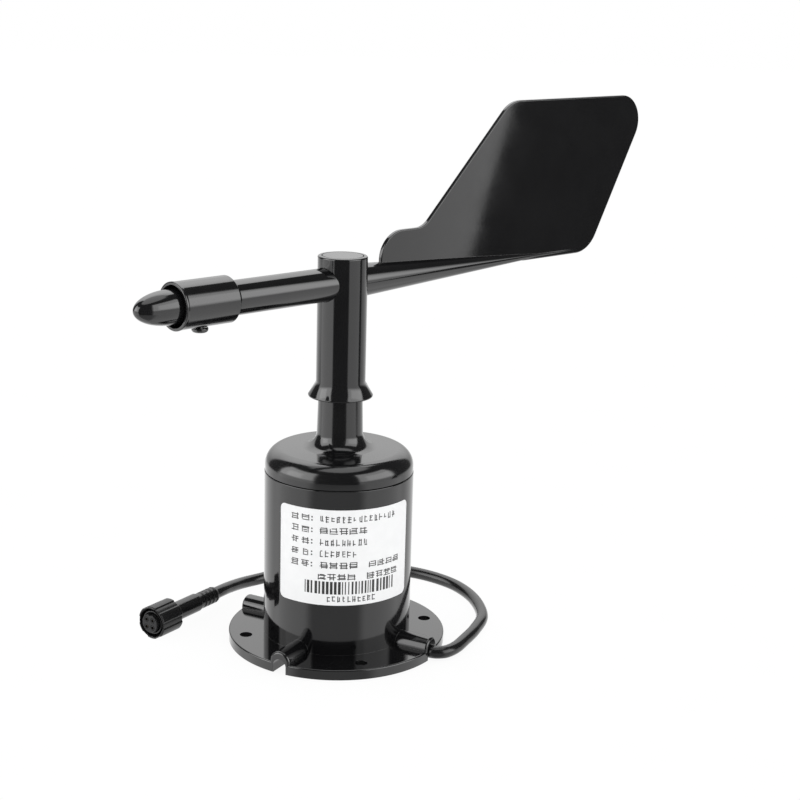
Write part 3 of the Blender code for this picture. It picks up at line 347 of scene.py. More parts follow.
def block(name, size, centre, degrees=0.0):
    """Box about a centre, turned about the turning axis."""
    x, y, z = (s / 2 for s in size)
    section = [(-y, -z), (y, -z), (y, z), (-y, z)]
    rings = [[(side, a, b) for a, b in section] for side in (-x, x)]
    obj = loft(name, rings)
    obj.data.transform(at((0, 0, 0), degrees) @ Matrix.Translation(Vector(centre) * MM))
    return obj


def carve(target, tools, operation):
    """Joins tools to a piece, or cuts them out of it, for good."""
    for tool in tools:
        step = target.modifiers.new("Carve", "BOOLEAN")
        step.operation = operation
        step.solver = "EXACT"
        step.object = tool
    graph = bpy.context.evaluated_depsgraph_get()
    mesh = bpy.data.meshes.new_from_object(target.evaluated_get(graph))
    target.modifiers.clear()
    target.data = mesh
    for tool in tools:
        bpy.data.objects.remove(tool, do_unlink=True)


def finish_piece(obj, body, slot, look, *nodes):
    """Smooths a piece, gives it its material, and puts it on its body for the CAD nodes."""
    obj.data.materials.clear()
    obj.data.materials.append(look)
    obj.data.shade_smooth()
    obj.data.set_sharp_from_angle(angle=math.radians(CREASE))
    steady = obj.modifiers.new("Flat faces stay flat", "WEIGHTED_NORMAL")
    steady.keep_sharp = True
    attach(obj, body)
    if nodes:
        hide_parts(*nodes)


# ---------------------------------------------------------------- materials

CORES = {"brown": (0.16, 0.06, 0.03), "black": (0.01, 0.01, 0.01), "blue": (0.02, 0.08, 0.4),
         "green": (0.02, 0.3, 0.06)}


class Graph:
    """Short way to write the nodes of a material or of the world."""

    def __init__(self, tree):
        self.tree = tree
        tree.nodes.clear()

    def node(self, kind, inputs=None, **settings):
        """Shader node of a kind, with its inputs and settings."""
        made = self.tree.nodes.new("ShaderNode" + kind)
        for key, value in settings.items():
            setattr(made, key, value)
        for key, value in (inputs or {}).items():
            self.feed(made.inputs[key], value)
        return made

    def feed(self, socket, value):
        """Links an output to a socket, or sets the socket's plain value."""
        if isinstance(value, bpy.types.NodeSocket):
            self.tree.links.new(value, socket)
        else:
            socket.default_value = value

    def math(self, operation, *values):
        """Result of a sum on numbers or outputs."""
        made = self.tree.nodes.new("ShaderNodeMath")
        made.operation = operation
        for socket, value in zip(made.inputs, values):
            self.feed(socket, value)
        return made.outputs[0]

    def ramp(self, value, low, high, out_low=0.0, out_high=1.0):
        """Value eased from one range to another."""
        made = self.node("MapRange", {"Value": value, "From Min": low, "From Max": high,
                                      "To Min": out_low, "To Max": out_high})
        made.interpolation_type = "SMOOTHSTEP"
        return made.outputs["Result"]

    def blend(self, share, first, second):
        """Colour between two colours or numbers."""
        made = self.tree.nodes.new("ShaderNodeMix")
        made.data_type = "RGBA"
        self.feed(made.inputs["Factor"], share)
        for socket, value in ((made.inputs[6], first), (made.inputs[7], second)):
            plain = isinstance(value, (int, float))
            self.feed(socket, (value, value, value, 1.0) if plain else value)
        return made.outputs[2]

    def noise(self, place, scale, detail=3.0, roughness=0.5):
        """Cloudy noise, with its scale in waves to the metre."""
        made = self.node("TexNoise", {"Vector": place, "Scale": scale, "Detail": detail,
                                      "Roughness": roughness})
        return made.outputs["Fac"]


def shade(colour):
    """Colour with full alpha."""
    return (*colour, 1.0)


def surface(name, dark, light, rough, grain, patch=120.0, metal=0.0, edge=0.0, bump=0.1,
            squeeze=(1.0, 1.0, 1.0), coat=0.0, shine=0.5):
    """Procedural solid: colour and roughness drift in patches, a fine grain stands in relief,
    and edge gives its corners a small worn radius in millimetres."""
    grain_depth, grain_roughness = 0.05, 0.02
    low, high = 0.3, 0.7                 # nearly all values of a noise lie between these
    made = bpy.data.materials.new(name)
    made.use_nodes = True
    made.diffuse_color = shade(light)
    g = Graph(made.node_tree)
    spot = g.node("TexCoord").outputs["Object"]
    place = g.node("Mapping", {"Vector": spot, "Scale": squeeze}).outputs["Vector"]
    drift = g.ramp(g.noise(place, patch, 4.0, 0.6), low, high)
    fine = g.noise(place, grain, 2.0, 0.6)
    colour = g.blend(drift, shade(dark), shade(light))
    roughness = g.math("ADD", g.ramp(g.noise(place, patch * 0.4, 5.0, 0.65), low, high, *rough),
                       g.math("MULTIPLY", fine, grain_roughness))
    relief = {"Strength": bump, "Distance": grain_depth * MM, "Height": fine}
    if edge:
        relief["Normal"] = g.node("Bevel", {"Radius": edge * MM}, samples=6).outputs["Normal"]
    normal = g.node("Bump", relief).outputs["Normal"]
    body = g.node("BsdfPrincipled", {"Base Color": colour, "Roughness": roughness,
                                     "Metallic": metal, "Normal": normal,
                                     "Specular IOR Level": shine,
                                     "Coat Weight": coat, "Coat Roughness": 0.05})
    g.node("OutputMaterial", {"Surface": body.outputs["BSDF"]})
    return made


def build_materials():
    """Every finish of the object, by name."""
    looks = {}
    jet = ((0.0045, 0.0045, 0.005), (0.0065, 0.0065, 0.007))
    looks["gloss"] = surface("gloss_black_plastic", *jet, (0.05, 0.10), 900.0, 60.0,
                             edge=0.12, bump=0.03)
    looks["vane"] = surface("smooth_black_plastic", *jet, (0.02, 0.05), 900.0, 60.0,
                            edge=0.22, bump=0.015)
    looks["soft_gloss"] = surface("soft_gloss_black_plastic", *jet, (0.09, 0.15), 900.0, 60.0,
                                  edge=0.22, bump=0.04)
    looks["satin"] = surface("satin_black_plastic", (0.008, 0.008, 0.0085),
                             (0.012, 0.012, 0.0125), (0.22, 0.32), 2600.0, edge=0.15,
                             bump=0.2, shine=0.22)
    looks["pvc"] = surface("black_pvc", (0.006, 0.006, 0.0063), (0.010, 0.010, 0.0105),
                           (0.15, 0.21), 1800.0, edge=0.1, bump=0.12, shine=0.3)
    looks["rubber"] = surface("black_rubber", (0.012, 0.012, 0.012), (0.02, 0.02, 0.021),
                              (0.6, 0.75), 3000.0, bump=0.4)
    looks["painted"] = surface("black_painted_metal", (0.006, 0.006, 0.006),
                               (0.009, 0.009, 0.0095), (0.12, 0.2), 1500.0, edge=0.1,
                               bump=0.06, coat=0.3)
    looks["steel"] = surface("brushed_steel", (0.42, 0.43, 0.45), (0.62, 0.63, 0.65),
                             (0.2, 0.34), 1500.0, metal=1.0, edge=0.08, bump=0.2,
                             squeeze=(1.0, 1.0, 6.0))
    looks["brass"] = surface("turned_brass", (0.55, 0.38, 0.14), (0.78, 0.6, 0.28),
                             (0.22, 0.36), 1800.0, metal=1.0, bump=0.2,
                             squeeze=(1.0, 1.0, 5.0))
    looks["magnet"] = surface("sintered_magnet", (0.2, 0.2, 0.21), (0.34, 0.34, 0.35),
                              (0.3, 0.5), 4000.0, metal=0.8, bump=0.4)
    looks["nylon"] = surface("natural_nylon", (0.66, 0.63, 0.54), (0.78, 0.76, 0.68),
                             (0.4, 0.55), 2500.0, bump=0.2)
    looks["board"] = surface("green_solder_mask", (0.01, 0.11, 0.045), (0.02, 0.19, 0.08),
                             (0.25, 0.4), 1400.0, patch=600.0, bump=0.3)
    looks["label"] = surface("label_paper", (0.89, 0.895, 0.90), (0.92, 0.925, 0.93),
                             (0.38, 0.5), 4000.0, patch=300.0, bump=0.08)
    looks["ink"] = surface("label_ink", (0.012, 0.012, 0.012), (0.03, 0.03, 0.032),
                           (0.4, 0.55), 4000.0, patch=1500.0, bump=0.1)
    for colour, light in CORES.items():
        dark = [0.8 * part for part in light]
        looks["core_" + colour] = surface("core_" + colour, dark, light, (0.35, 0.5), 2500.0)
    return looks


# ---------------------------------------------------------------- housing, cover and label

def make_housing(looks):
    """Flanged cup: rounded rims, ribs below, four cable tunnels, and pillars and posts inside."""
    rim, lip = 0.55, 0.22
    into_boss, into_wall, into_floor = 1.0, 0.4, 0.6
    profile = [(0.0, FLOOR_TOP), (CAVITY_R, FLOOR_TOP), (CAVITY_R, HOUSING_TOP)]
    profile += arc((BODY_R - lip, HOUSING_TOP - lip), lip, 90, 0, 4)
    profile += [(BODY_R, FLANGE_TOP)]
    profile += arc((FLANGE_R - rim, FLANGE_TOP - rim), rim, 90, 0, 6)
    profile += arc((FLANGE_R - lip, lip), lip, 0, -90, 4)
    profile += arc((RECESS_R + lip, lip), lip, -90, -180, 4)
    profile += [(RECESS_R, FLOOR_BOTTOM), (BOSS_R, FLOOR_BOTTOM)]
    profile += arc((BOSS_R - lip, lip), lip, 0, -90, 4)
    profile += [(0.0, 0.0)]
    housing = turned("housing_shell", profile, LARGE)

    added = []
    for i in range(4):
        length = RECESS_R - BOSS_R + into_boss + into_wall
        height = FLOOR_BOTTOM + into_floor - RIB_FOOT_Z
        centre = (BOSS_R - into_boss + length / 2, 0.0, RIB_FOOT_Z + height / 2)
        added.append(block("rib", (length, RIB_WIDTH, height), centre, MOUNT_ANGLE + 90.0 * i))
        added.append(bar("tunnel", TUNNEL_R, TUNNEL_TOP, TUNNEL_FOOT, CAVITY_R + 0.8,
                         FLANGE_R - 0.1, TUNNEL_RIM, TUNNEL_ANGLE + 90.0 * i))
    for degrees in SCREW_ANGLES:
        added.append(cylinder("pillar", PILLAR_R, FLOOR_TOP - BEYOND, PILLAR_TOP,
                              at(polar(SCREW_CIRCLE_R, degrees))))
        added.append(cylinder("post", POST_R, FLOOR_TOP - BEYOND, POST_TOP,
                              at(polar(POST_CIRCLE_R, degrees))))
    carve(housing, added, "UNION")

    cuts = []
    for i in range(4):
        cuts.append(bar("channel", CHANNEL_R, CHANNEL_TOP, -BEYOND, RECESS_R - 2 * BEYOND,
                        FLANGE_R + 2 * BEYOND, CHANNEL_RIM, TUNNEL_ANGLE + 90.0 * i))
        cuts.append(cylinder("mount_hole", MOUNT_HOLE_R, -BEYOND, FLANGE_TOP + BEYOND,
                             at(polar(MOUNT_CIRCLE_R, MOUNT_ANGLE + 90.0 * i))))
    for degrees in SCREW_ANGLES:
        cuts.append(cylinder("pillar_hole", SCREW_HOLE_R, -BEYOND, PILLAR_TOP + 2 * BEYOND,
                             at(polar(SCREW_CIRCLE_R, degrees))))
    cuts.append(cylinder("cable_entry", ENTRY_HOLE_R, FLOOR_BOTTOM - BEYOND,
                         FLOOR_TOP + BEYOND, at(polar(CABLE_ENTRY_R, CABLE_ANGLE))))
    carve(housing, cuts, "DIFFERENCE")
    finish_piece(housing, "base", "black_plastic", looks["gloss"], "housing")


def top_height(radius):
    """Height of the cover's sloping top at a distance from the turning axis."""
    slope = math.radians(TOP_SLOPE)
    edge_r = COVER_R - EDGE_R + EDGE_R * math.sin(slope)
    edge_z = EDGE_Z + EDGE_R * math.cos(slope)
    return edge_z + (edge_r - radius) * math.tan(slope)


def make_cover(looks):
    """Cover with a sloping top, swept up into the neck that holds the bearings."""
    neck_rim, lip, bend_steps = 0.4, 0.2, 24
    slant = math.cos(math.radians(TOP_SLOPE))
    fillet_r = NECK_FOOT_R + FOOT_FILLET
    fillet_z = top_height(fillet_r) + FOOT_FILLET / slant
    under = COVER_WALL / slant
    groove = SPIGOT_OUTER_R - GROOVE_DEPTH
    profile = arc((NECK_TOP_R - neck_rim, NECK_TOP_Z - neck_rim), neck_rim, 90, 0, 4)
    profile += arc((fillet_r, fillet_z), FOOT_FILLET, 180, 270 - TOP_SLOPE, bend_steps)
    profile += arc((COVER_R - EDGE_R, EDGE_Z), EDGE_R, 90 - TOP_SLOPE, 0, bend_steps)
    profile += arc((COVER_R - lip, COVER_BOTTOM + lip), lip, 0, -90, 4)
    profile += [(SPIGOT_OUTER_R, COVER_BOTTOM), (SPIGOT_OUTER_R, SEAL_Z + SEAL_GROOVE),
                (groove, SEAL_Z + SEAL_GROOVE), (groove, SEAL_Z - SEAL_GROOVE),
                (SPIGOT_OUTER_R, SEAL_Z - SEAL_GROOVE), (SPIGOT_OUTER_R, SPIGOT_BOTTOM),
                (SPIGOT_INNER_R, SPIGOT_BOTTOM),
                (SPIGOT_INNER_R, top_height(SPIGOT_INNER_R) - under),
                (TUBE_R, top_height(TUBE_R) - under), (TUBE_R, TUBE_BOTTOM),
                (SEAT_R, TUBE_BOTTOM), (SEAT_R, LOWER_SHOULDER_Z), (SHOULDER_R, LOWER_SHOULDER_Z),
                (SHOULDER_R, UPPER_SHOULDER_Z), (SEAT_R, UPPER_SHOULDER_Z), (SEAT_R, NECK_TOP_Z)]
    cover = turned("cover_shell", profile, LARGE)
    bosses, drills = [], []
    for degrees in SCREW_ANGLES:
        place = at(polar(SCREW_CIRCLE_R, degrees))
        bosses.append(cylinder("boss", COVER_BOSS_R, PILLAR_TOP + PILLAR_GAP, COVER_BOSS_TOP,
                               place))
        drills.append(cylinder("boss_hole", SCREW_HOLE_R, PILLAR_TOP - BEYOND, COVER_HOLE_TOP,
                               place))
    carve(cover, bosses, "UNION")
    carve(cover, drills, "DIFFERENCE")
    finish_piece(cover, "base", "black_plastic", looks["soft_gloss"], "top_cover")


def drum_point(u, height, radius):
    """Point on a drum round the turning axis, u millimetres to the right of the label's middle."""
    return polar(radius, LABEL_ANGLE + math.degrees(u / BODY_R), height)


def make_label(looks):
    """Paper label with rounded corners, wrapped round the housing."""
    half, straight = LABEL_WIDTH / 2, LABEL_WIDTH - 2 * LABEL_CORNER
    bends, cells = 10, 80
    corner = [LABEL_CORNER * (1 - math.cos(math.radians(90.0 * i / bends)))
              for i in range(bends + 1)]
    middle = [-half + LABEL_CORNER + straight * i / cells for i in range(1, cells)]
    across = [-half + d for d in corner] + middle + [half - d for d in reversed(corner)]
    rings = []
    for u in across:
        run = max(0.0, LABEL_CORNER - (half - abs(u)))
        inset = LABEL_CORNER - math.sqrt(LABEL_CORNER ** 2 - run ** 2)
        low, high = LABEL_BOTTOM + inset, LABEL_TOP - inset
        outer = LABEL_INNER_R + LABEL_T
        rings.append([drum_point(u, low, LABEL_INNER_R), drum_point(u, low, outer),
                      drum_point(u, high, outer), drum_point(u, high, LABEL_INNER_R)])
    label = loft("label_sheet", rings)
    finish_piece(label, "base", "label_white", looks["label"], "label")


class Print:
    """Thin printed marks on the label, gathered in one mesh."""

    def __init__(self):
        self.shape = bmesh.new()
        self.inner = LABEL_INNER_R + LABEL_T + PRINT_GAP

    def mark(self, left, right, low, high):
        """Rectangle between two distances across the label and two heights."""
        cells = max(1, math.ceil((right - left) / PRINT_CELL))
        loops = []
        for i in range(cells + 1):
            u = left + (right - left) * i / cells
            outer = self.inner + PRINT_T
            ring = [drum_point(u, low, self.inner), drum_point(u, low, outer),
                    drum_point(u, high, outer), drum_point(u, high, self.inner)]
            loops.append([self.shape.verts.new(point * MM) for point in ring])
        faces = [loops[0], loops[-1]]
        for one, other in zip(loops, loops[1:]):
            faces += [(one[k - 1], one[k], other[k], other[k - 1]) for k in range(4)]
        for face in faces:
            self.shape.faces.new(face)

    def sign(self, left, base, width, height, draw, stroke=0.3):
        """Meaningless sign of a few upright and level strokes, more of them when it is wide."""
        wide = width > 2.0
        uprights = 2 if wide else draw.choice((1, 2))
        for i in range(uprights):
            x = left + (width - stroke) * (draw.random() * 0.3 + 0.7 * i / max(1, uprights - 1))
            low = base + height * draw.choice((0.0, 0.0, 0.25))
            self.mark(x, x + stroke, low, base + height * draw.choice((1.0, 0.85, 1.0)))
        levels = draw.choice((3, 4) if wide else (1, 2, 3))
        for i in range(levels):
            y = base + (height - stroke) * (i + 0.5 * draw.random()) / max(1, levels - 0.5)
            inset = width * draw.choice((0.0, 0.1, 0.25))
            self.mark(left + inset, left + width - inset * draw.choice((0.0, 1.0)), y, y + stroke)

    def object(self, name):
        """Object that holds all the marks made so far."""
        return from_shape(name, self.shape)


ROW_TOP, ROW_PITCH, SIGN_HEIGHT = 53.4, 4.05, 2.3
WIDE, NARROW = (2.8, 3.3), (1.25, 1.85)  # width and pitch of the signs
COLUMN = (-19.9, -15.9)                  # left edges of the two signs before each row's colon
COLON, COLON_LIFTS, COLON_DOT = -12.4, (0.3, 1.4), 0.5
ROWS = [                                 # (start, end, signs) for each row
    [(-9.4, 18.0, NARROW)], [(-9.4, 7.2, WIDE)], [(-9.4, 8.2, NARROW)], [(-9.4, 3.9, NARROW)],
    [(-9.3, 4.9, WIDE), (7.4, 21.0, WIDE)], [(-9.9, 4.2, WIDE), (6.8, 20.4, WIDE)]]
LAST_ROW = len(ROWS) - 1                 # it goes on from the row above, with no colon
BARCODE = (-14.5, 18.9, 25.8, 30.3)      # left, right, bottom, top
STRIPES, STRIPE_GAPS = (0.35, 0.35, 0.6, 0.9), (0.45, 0.6, 0.8)
NUMBER_ROW = (-6.8, 10.6, 23.0, 25.1)
NUMBER_COUNT, NUMBER_WIDTH, NUMBER_STROKE = 10, 1.15, 0.32


def make_label_print(looks):
    """Generic print: rows of meaningless signs, a row of stripes and a row of small signs."""
    draw = random.Random(7)
    ink = Print()
    for i, row in enumerate(ROWS):
        base = ROW_TOP - ROW_PITCH * i - SIGN_HEIGHT
        if i < LAST_ROW:
            for left in COLUMN:
                ink.sign(left, base, WIDE[0], SIGN_HEIGHT, draw)
            for lift in COLON_LIFTS:
                ink.mark(COLON, COLON + COLON_DOT, base + lift, base + lift + COLON_DOT)
        for start, end, (width, pitch) in row:
            count = int((end - start + pitch - width) / pitch)
            for k in range(count):
                ink.sign(start + pitch * k, base, width, SIGN_HEIGHT, draw)
    left, right, low, high = BARCODE
    while left < right - STRIPE_GAPS[-1]:
        stripe = draw.choice(STRIPES)
        ink.mark(left, left + stripe, low, high)
        left += stripe + draw.choice(STRIPE_GAPS)
    left, right, low, high = NUMBER_ROW
    pitch = (right - left) / NUMBER_COUNT
    for k in range(NUMBER_COUNT):
        ink.sign(left + pitch * k, low, NUMBER_WIDTH, high - low, draw, NUMBER_STROKE)
    finish_piece(ink.object("label_print"), "base", "core_black", looks["ink"])


# ---------------------------------------------------------------- cable and plug

def make_cable(looks):
    """Cable: down through the floor, round into its tunnel, and out along the ground."""
    steps, lead, side_step, into_plug = 12, 2.0, 0.55, 12.0
    outward = polar(1.0, CABLE_ANGLE)
    bend = outward * (CABLE_ENTRY_R + CABLE_BEND_R) + Vector((0, 0, CABLE_RUN_Z + CABLE_BEND_R))
    path = [outward * CABLE_ENTRY_R + Vector((0, 0, CABLE_START_Z))]
    for i in range(steps + 1):
        angle = math.radians(180.0 + 90.0 * i / steps)
        path.append(bend + CABLE_BEND_R * (outward * math.cos(angle)
                                           + Vector((0, 0, math.sin(angle)))))
    mouth = outward * CABLE_MOUTH_R + Vector((0, 0, CABLE_RUN_Z))
    turn = mouth + outward * lead + polar(side_step, CABLE_ANGLE + 90.0)
    back = polar(1.0, PLUG_ANGLE)
    boot = Vector(PLUG_FACE) + back * (PLUG_LENGTH - lead)
    path += smooth_path([tuple(mouth), tuple(turn)] + CABLE_LOOP + [tuple(boot)], steps)
    path.append(Vector(PLUG_FACE) + back * (PLUG_LENGTH - into_plug))
    finish_piece(tube("cable_jacket", path, CABLE_R), "base", "black_pvc", looks["pvc"], "cable")


PLUG_PLACE = at(PLUG_FACE, PLUG_ANGLE) @ Matrix.Rotation(math.pi / 2, 4, "Y")


def make_nut(looks):
    """Coupling nut: a sleeve with flat lands for the fingers, rounded at both rims."""
    rim, mouth = 0.5, 0.25
    land_half, land_flank = 0.27, 0.05   # shares of the pitch from one land to the next
    rings = []
    stations = arc((NUT_R - rim, NUT_LENGTH - rim), rim, 90, 0, 5)
    stations += arc((NUT_R - rim, rim), rim, 0, -90, 5)
    stations += [(NUT_BORE_R + mouth, 0.0), (NUT_BORE_R, mouth), (NUT_BORE_R, NUT_WALL_START),
                 (NUT_NECK_R, NUT_WALL_START), (NUT_NECK_R, NUT_LENGTH)]
    segments = 30 * NUT_LANDS
    for radius, height in stations:
        ring = []
        outside = radius > NUT_BORE_R + mouth + 0.05
        for k in range(segments):
            phase = (k * NUT_LANDS / segments + 0.5) % 1.0 - 0.5
            share = min(1.0, max(0.0, (abs(phase) - land_half) / land_flank))
            drop = (NUT_R - NUT_ROOT_R) * share * share * (3 - 2 * share) if outside else 0.0
            angle = 2 * math.pi * k / segments
            ring.append(((radius - drop) * math.cos(angle), (radius - drop) * math.sin(angle),
                         height))
        rings.append(ring)
    nut = loft("nut_shell", rings, "joined")
    nut.data.transform(PLUG_PLACE)
    finish_piece(nut, "nut", "dark_plastic", looks["satin"], "coupling_nut")


def make_plug(looks):
    """Plug body with its grooved boot, the socket insert and four tube contacts."""
    bore, end_rim, shoulder_rim, flank = CABLE_R + 0.1, 0.4, 0.3, 0.15
    profile = [(0.0, PLUG_BORE_START), (bore, PLUG_BORE_START), (bore, PLUG_LENGTH)]
    profile += arc((BOOT_END_R - end_rim, PLUG_LENGTH - end_rim), end_rim, 90, 0, 4)
    for i in range(BOOT_GROOVES):
        edge = PLUG_LENGTH - BOOT_FIRST - BOOT_PITCH * i
        profile += arc((BOOT_R - BOOT_RIM, edge + BOOT_RIM), BOOT_RIM, 60, -60, 3)
        profile += [(BOOT_ROOT_R, edge - flank), (BOOT_ROOT_R, edge - BOOT_GROOVE + flank)]
        profile += arc((BOOT_R - BOOT_RIM, edge - BOOT_GROOVE), BOOT_RIM, 60, -60, 3)
    profile += [(BOOT_R, PLUG_STEP + 0.6)]
    profile += arc((PLUG_R - shoulder_rim, PLUG_STEP - 0.1), shoulder_rim, 80, 0, 4)
    profile += [(PLUG_R, BARREL_END), (BARREL_R, BARREL_END), (BARREL_R, BARREL_START + 0.15),
                (BARREL_R - 0.15, BARREL_START), (BARREL_INNER_R, BARREL_START),
                (BARREL_INNER_R, INSERT_END + 0.3), (0.0, INSERT_END + 0.3)]
    body = turned("plug_shell", profile, SMALL, PLUG_PLACE)
    finish_piece(body, "base", "black_pvc", looks["pvc"], "plug_body")

    edge, groove, groove_end, key_r, play = 0.15, 0.14, INSERT_START + 0.5, 0.8, 0.08
    profile = [(0.0, INSERT_START), (INSERT_R - edge, INSERT_START),
               (INSERT_R, INSERT_START + edge), (INSERT_R, INSERT_END), (0.0, INSERT_END)]
    insert = turned("socket_insert", profile, MEDIUM)
    cuts = [cylinder("key", key_r, INSERT_START - BEYOND, INSERT_END + BEYOND,
                     at(polar(INSERT_R + 0.3, 180.0)))]
    for i in range(4):
        place = at(polar(CONTACT_CIRCLE_R, CONTACT_ANGLE + 90.0 * i))
        cuts.append(cylinder("contact_hole", CONTACT_R + play, INSERT_START - BEYOND,
                             INSERT_END + BEYOND, place))
        collar = [(COLLAR_R, INSERT_START - 0.5), (COLLAR_R, groove_end),
                  (COLLAR_R + groove, groove_end), (COLLAR_R + groove, INSERT_START - 0.5)]
        cuts.append(turned("collar", collar, SMALL, place))
    carve(insert, cuts, "DIFFERENCE")
    insert.data.transform(PLUG_PLACE)
    finish_piece(insert, "base", "dark_plastic", looks["satin"], "plug_insert")

    start, end, bore, lip = INSERT_START + 0.7, INSERT_END - 0.3, 0.25, 0.08
    profile = [(bore, start), (CONTACT_R - lip, start), (CONTACT_R, start + lip),
               (CONTACT_R, end), (bore, end)]
    for i in range(4):
        place = PLUG_PLACE @ at(polar(CONTACT_CIRCLE_R, CONTACT_ANGLE + 90.0 * i))
        contact = turned(f"socket_tube_{i + 1}", profile, SMALL, place)
        finish_piece(contact, "base", "brass", looks["brass"], f"contact_{i + 1}")


# ---------------------------------------------------------------- hub, vane and sleeve

ALONG_ARM = at((0, 0, ARM_Z)) @ Matrix.Rotation(math.pi / 2, 4, "Y")


def make_hub(looks):
    """Mast with a flared rain skirt, drilled for the arm, and the cap on top."""
    rim, lip, edge = 0.6, 0.3, 0.05
    recess, recess_bottom = CAP_R + CAP_GROOVE, CAP_BOTTOM - 0.3
    profile = [(recess, recess_bottom), (recess, HUB_TOP - edge), (recess + edge, HUB_TOP)]
    profile += arc((HUB_R - rim, HUB_TOP - rim), rim, 90, 0, 6)
    profile += [(HUB_R, SKIRT_TOP)]
    profile += arc((SKIRT_R - lip, SKIRT_BOTTOM + 0.45), lip, 30, 0, 3)
    profile += arc((SKIRT_R - lip, SKIRT_BOTTOM + lip), lip, 0, -90, 4)
    profile += [(SKIRT_INNER_R, SKIRT_BOTTOM), (SKIRT_ROOF_R, CORE_BOTTOM),
                (CORE_R, CORE_BOTTOM), (CORE_R, CORE_TOP), (HUB_BORE_R, CORE_TOP),
                (HUB_BORE_R, recess_bottom)]
    hub = turned("hub_shell", profile, MEDIUM)
    reach = HUB_R + BEYOND
    hole = cylinder("arm_hole", ARM_HOLE_R, -reach, reach, ALONG_ARM, MEDIUM)
    carve(hub, [hole], "DIFFERENCE")
    finish_piece(hub, "rotor", "black_plastic", looks["gloss"], "hub")

    profile = [(0.0, HUB_TOP), (CAP_R - edge, HUB_TOP), (CAP_R, HUB_TOP - edge),
               (CAP_R, CAP_BOTTOM), (0.0, CAP_BOTTOM)]
    cap = turned("cap_disc", profile, MEDIUM)
    finish_piece(cap, "rotor", "black_plastic", looks["gloss"], "hub_cap")


def make_vane(looks):
    """Arm, tapered boom and tail fin in one moulding."""
    hole_end, fin_rim, reach = NOSE_JOINT + STUD_HOLE_DEPTH, 0.4, ARM_R + BEYOND
    profile = [(0.0, BOOM_END), (BOOM_TIP_R, BOOM_END), (ARM_R, BOOM_START),
               (ARM_R, NOSE_JOINT), (STUD_HOLE_R, NOSE_JOINT), (STUD_HOLE_R, hole_end),
               (0.0, hole_end)]
    vane = turned("vane_shell", profile, MEDIUM, ALONG_ARM)
    fin = plate("fin", rounded(FIN_CORNERS), FIN_T, fin_rim)
    fin.data.transform(Matrix.Rotation(math.pi / 2, 4, "X"))
    carve(vane, [fin], "UNION")
    holes = [cylinder("screw_hole", HUB_SCREW_HOLE_R, ARM_Z - reach, ARM_Z + reach),
             cylinder("spotface", SPOTFACE_R, SPOTFACE_Z, ARM_Z + reach + BEYOND)]
    carve(vane, holes, "DIFFERENCE")
    finish_piece(vane, "rotor", "black_plastic", looks["vane"], "vane")


def make_nose(looks):
    """Weighted bullet nose with its stud in the arm."""
    gap, rim, radius, steps = 0.3, 0.3, ARM_R - 0.1, 40
    stud_back = NOSE_JOINT + STUD_LENGTH
    profile = [(0.0, stud_back), (STUD_R - 0.3, stud_back), (STUD_R, stud_back - 0.5),
               (STUD_R, NOSE_JOINT - gap)]
    profile += arc((radius - rim, NOSE_JOINT - gap - rim), rim, 90, 0, 3)
    for i in range(steps + 1):
        angle = math.pi / 2 * i / steps
        profile.append((radius * math.cos(angle) if i < steps else 0.0,
                        NOSE_TIP + NOSE_LENGTH * (1.0 - math.sin(angle))))
    nose = turned("nose_bullet", profile, MEDIUM, ALONG_ARM)
    finish_piece(nose, "rotor", "black_metal", looks["gloss"], "nose_weight")


def make_sleeve(looks):
    """Balance sleeve with a raised front rim, and the screw that locks it from below."""
    bead, ring, rim, mouth = SLEEVE_R + 0.12, 0.35, 0.25, 0.15
    profile = [(SLEEVE_BORE_R + rim, SLEEVE_BACK)]
    profile += arc((SLEEVE_R - rim, SLEEVE_SHOULDER - 0.1), rim, 45, 0, 4)
    profile += [(SLEEVE_R, SLEEVE_FRONT + 1.2), (bead, SLEEVE_FRONT + 0.95)]
    profile += arc((bead - ring, SLEEVE_FRONT + ring), ring, 0, -90, 5)
    profile += [(SLEEVE_MOUTH_R + mouth, SLEEVE_FRONT), (SLEEVE_MOUTH_R, SLEEVE_FRONT + mouth),
                (SLEEVE_MOUTH_R, SLEEVE_STEP), (SLEEVE_BORE_R, SLEEVE_STEP),
                (SLEEVE_BORE_R, SLEEVE_BACK)]
    sleeve = turned("sleeve_shell", profile, MEDIUM, ALONG_ARM)
    below = ARM_Z - SLEEVE_R
    place = at((SLEEVE_SCREW_X, 0, 0))
    hole = cylinder("sleeve_hole", SLEEVE_HOLE_R, below - 2.0, below + 4.0, place)
    carve(sleeve, [hole], "DIFFERENCE")
    finish_piece(sleeve, "sleeve", "black_plastic", looks["gloss"], "balance_sleeve")

    head, tip, rim = below - 0.25, below + 1.6, 0.2
    dome_z = head - 0.45
    profile = [(0.0, tip), (SCREW_SHANK_R, tip), (SCREW_SHANK_R, head),
               (SCREW_HEAD_R - 0.1, head)]
    profile += arc((SCREW_HEAD_R - rim, head - rim), rim, 90, 0, 3)
    profile += arc((SCREW_HEAD_R - SCREW_DOME_R, dome_z), SCREW_DOME_R, 0, -90, 8)
    profile += [(0.0, dome_z - SCREW_DOME_R)]
    screw = turned("screw_head", profile, SMALL, place)
    slot = block("slot", (3.2, 0.7, 1.4), (SLEEVE_SCREW_X, 0.0, head - 1.6))
    carve(screw, [slot], "DIFFERENCE")
    finish_piece(screw, "sleeve", "black_metal", looks["painted"], "sleeve_screw")


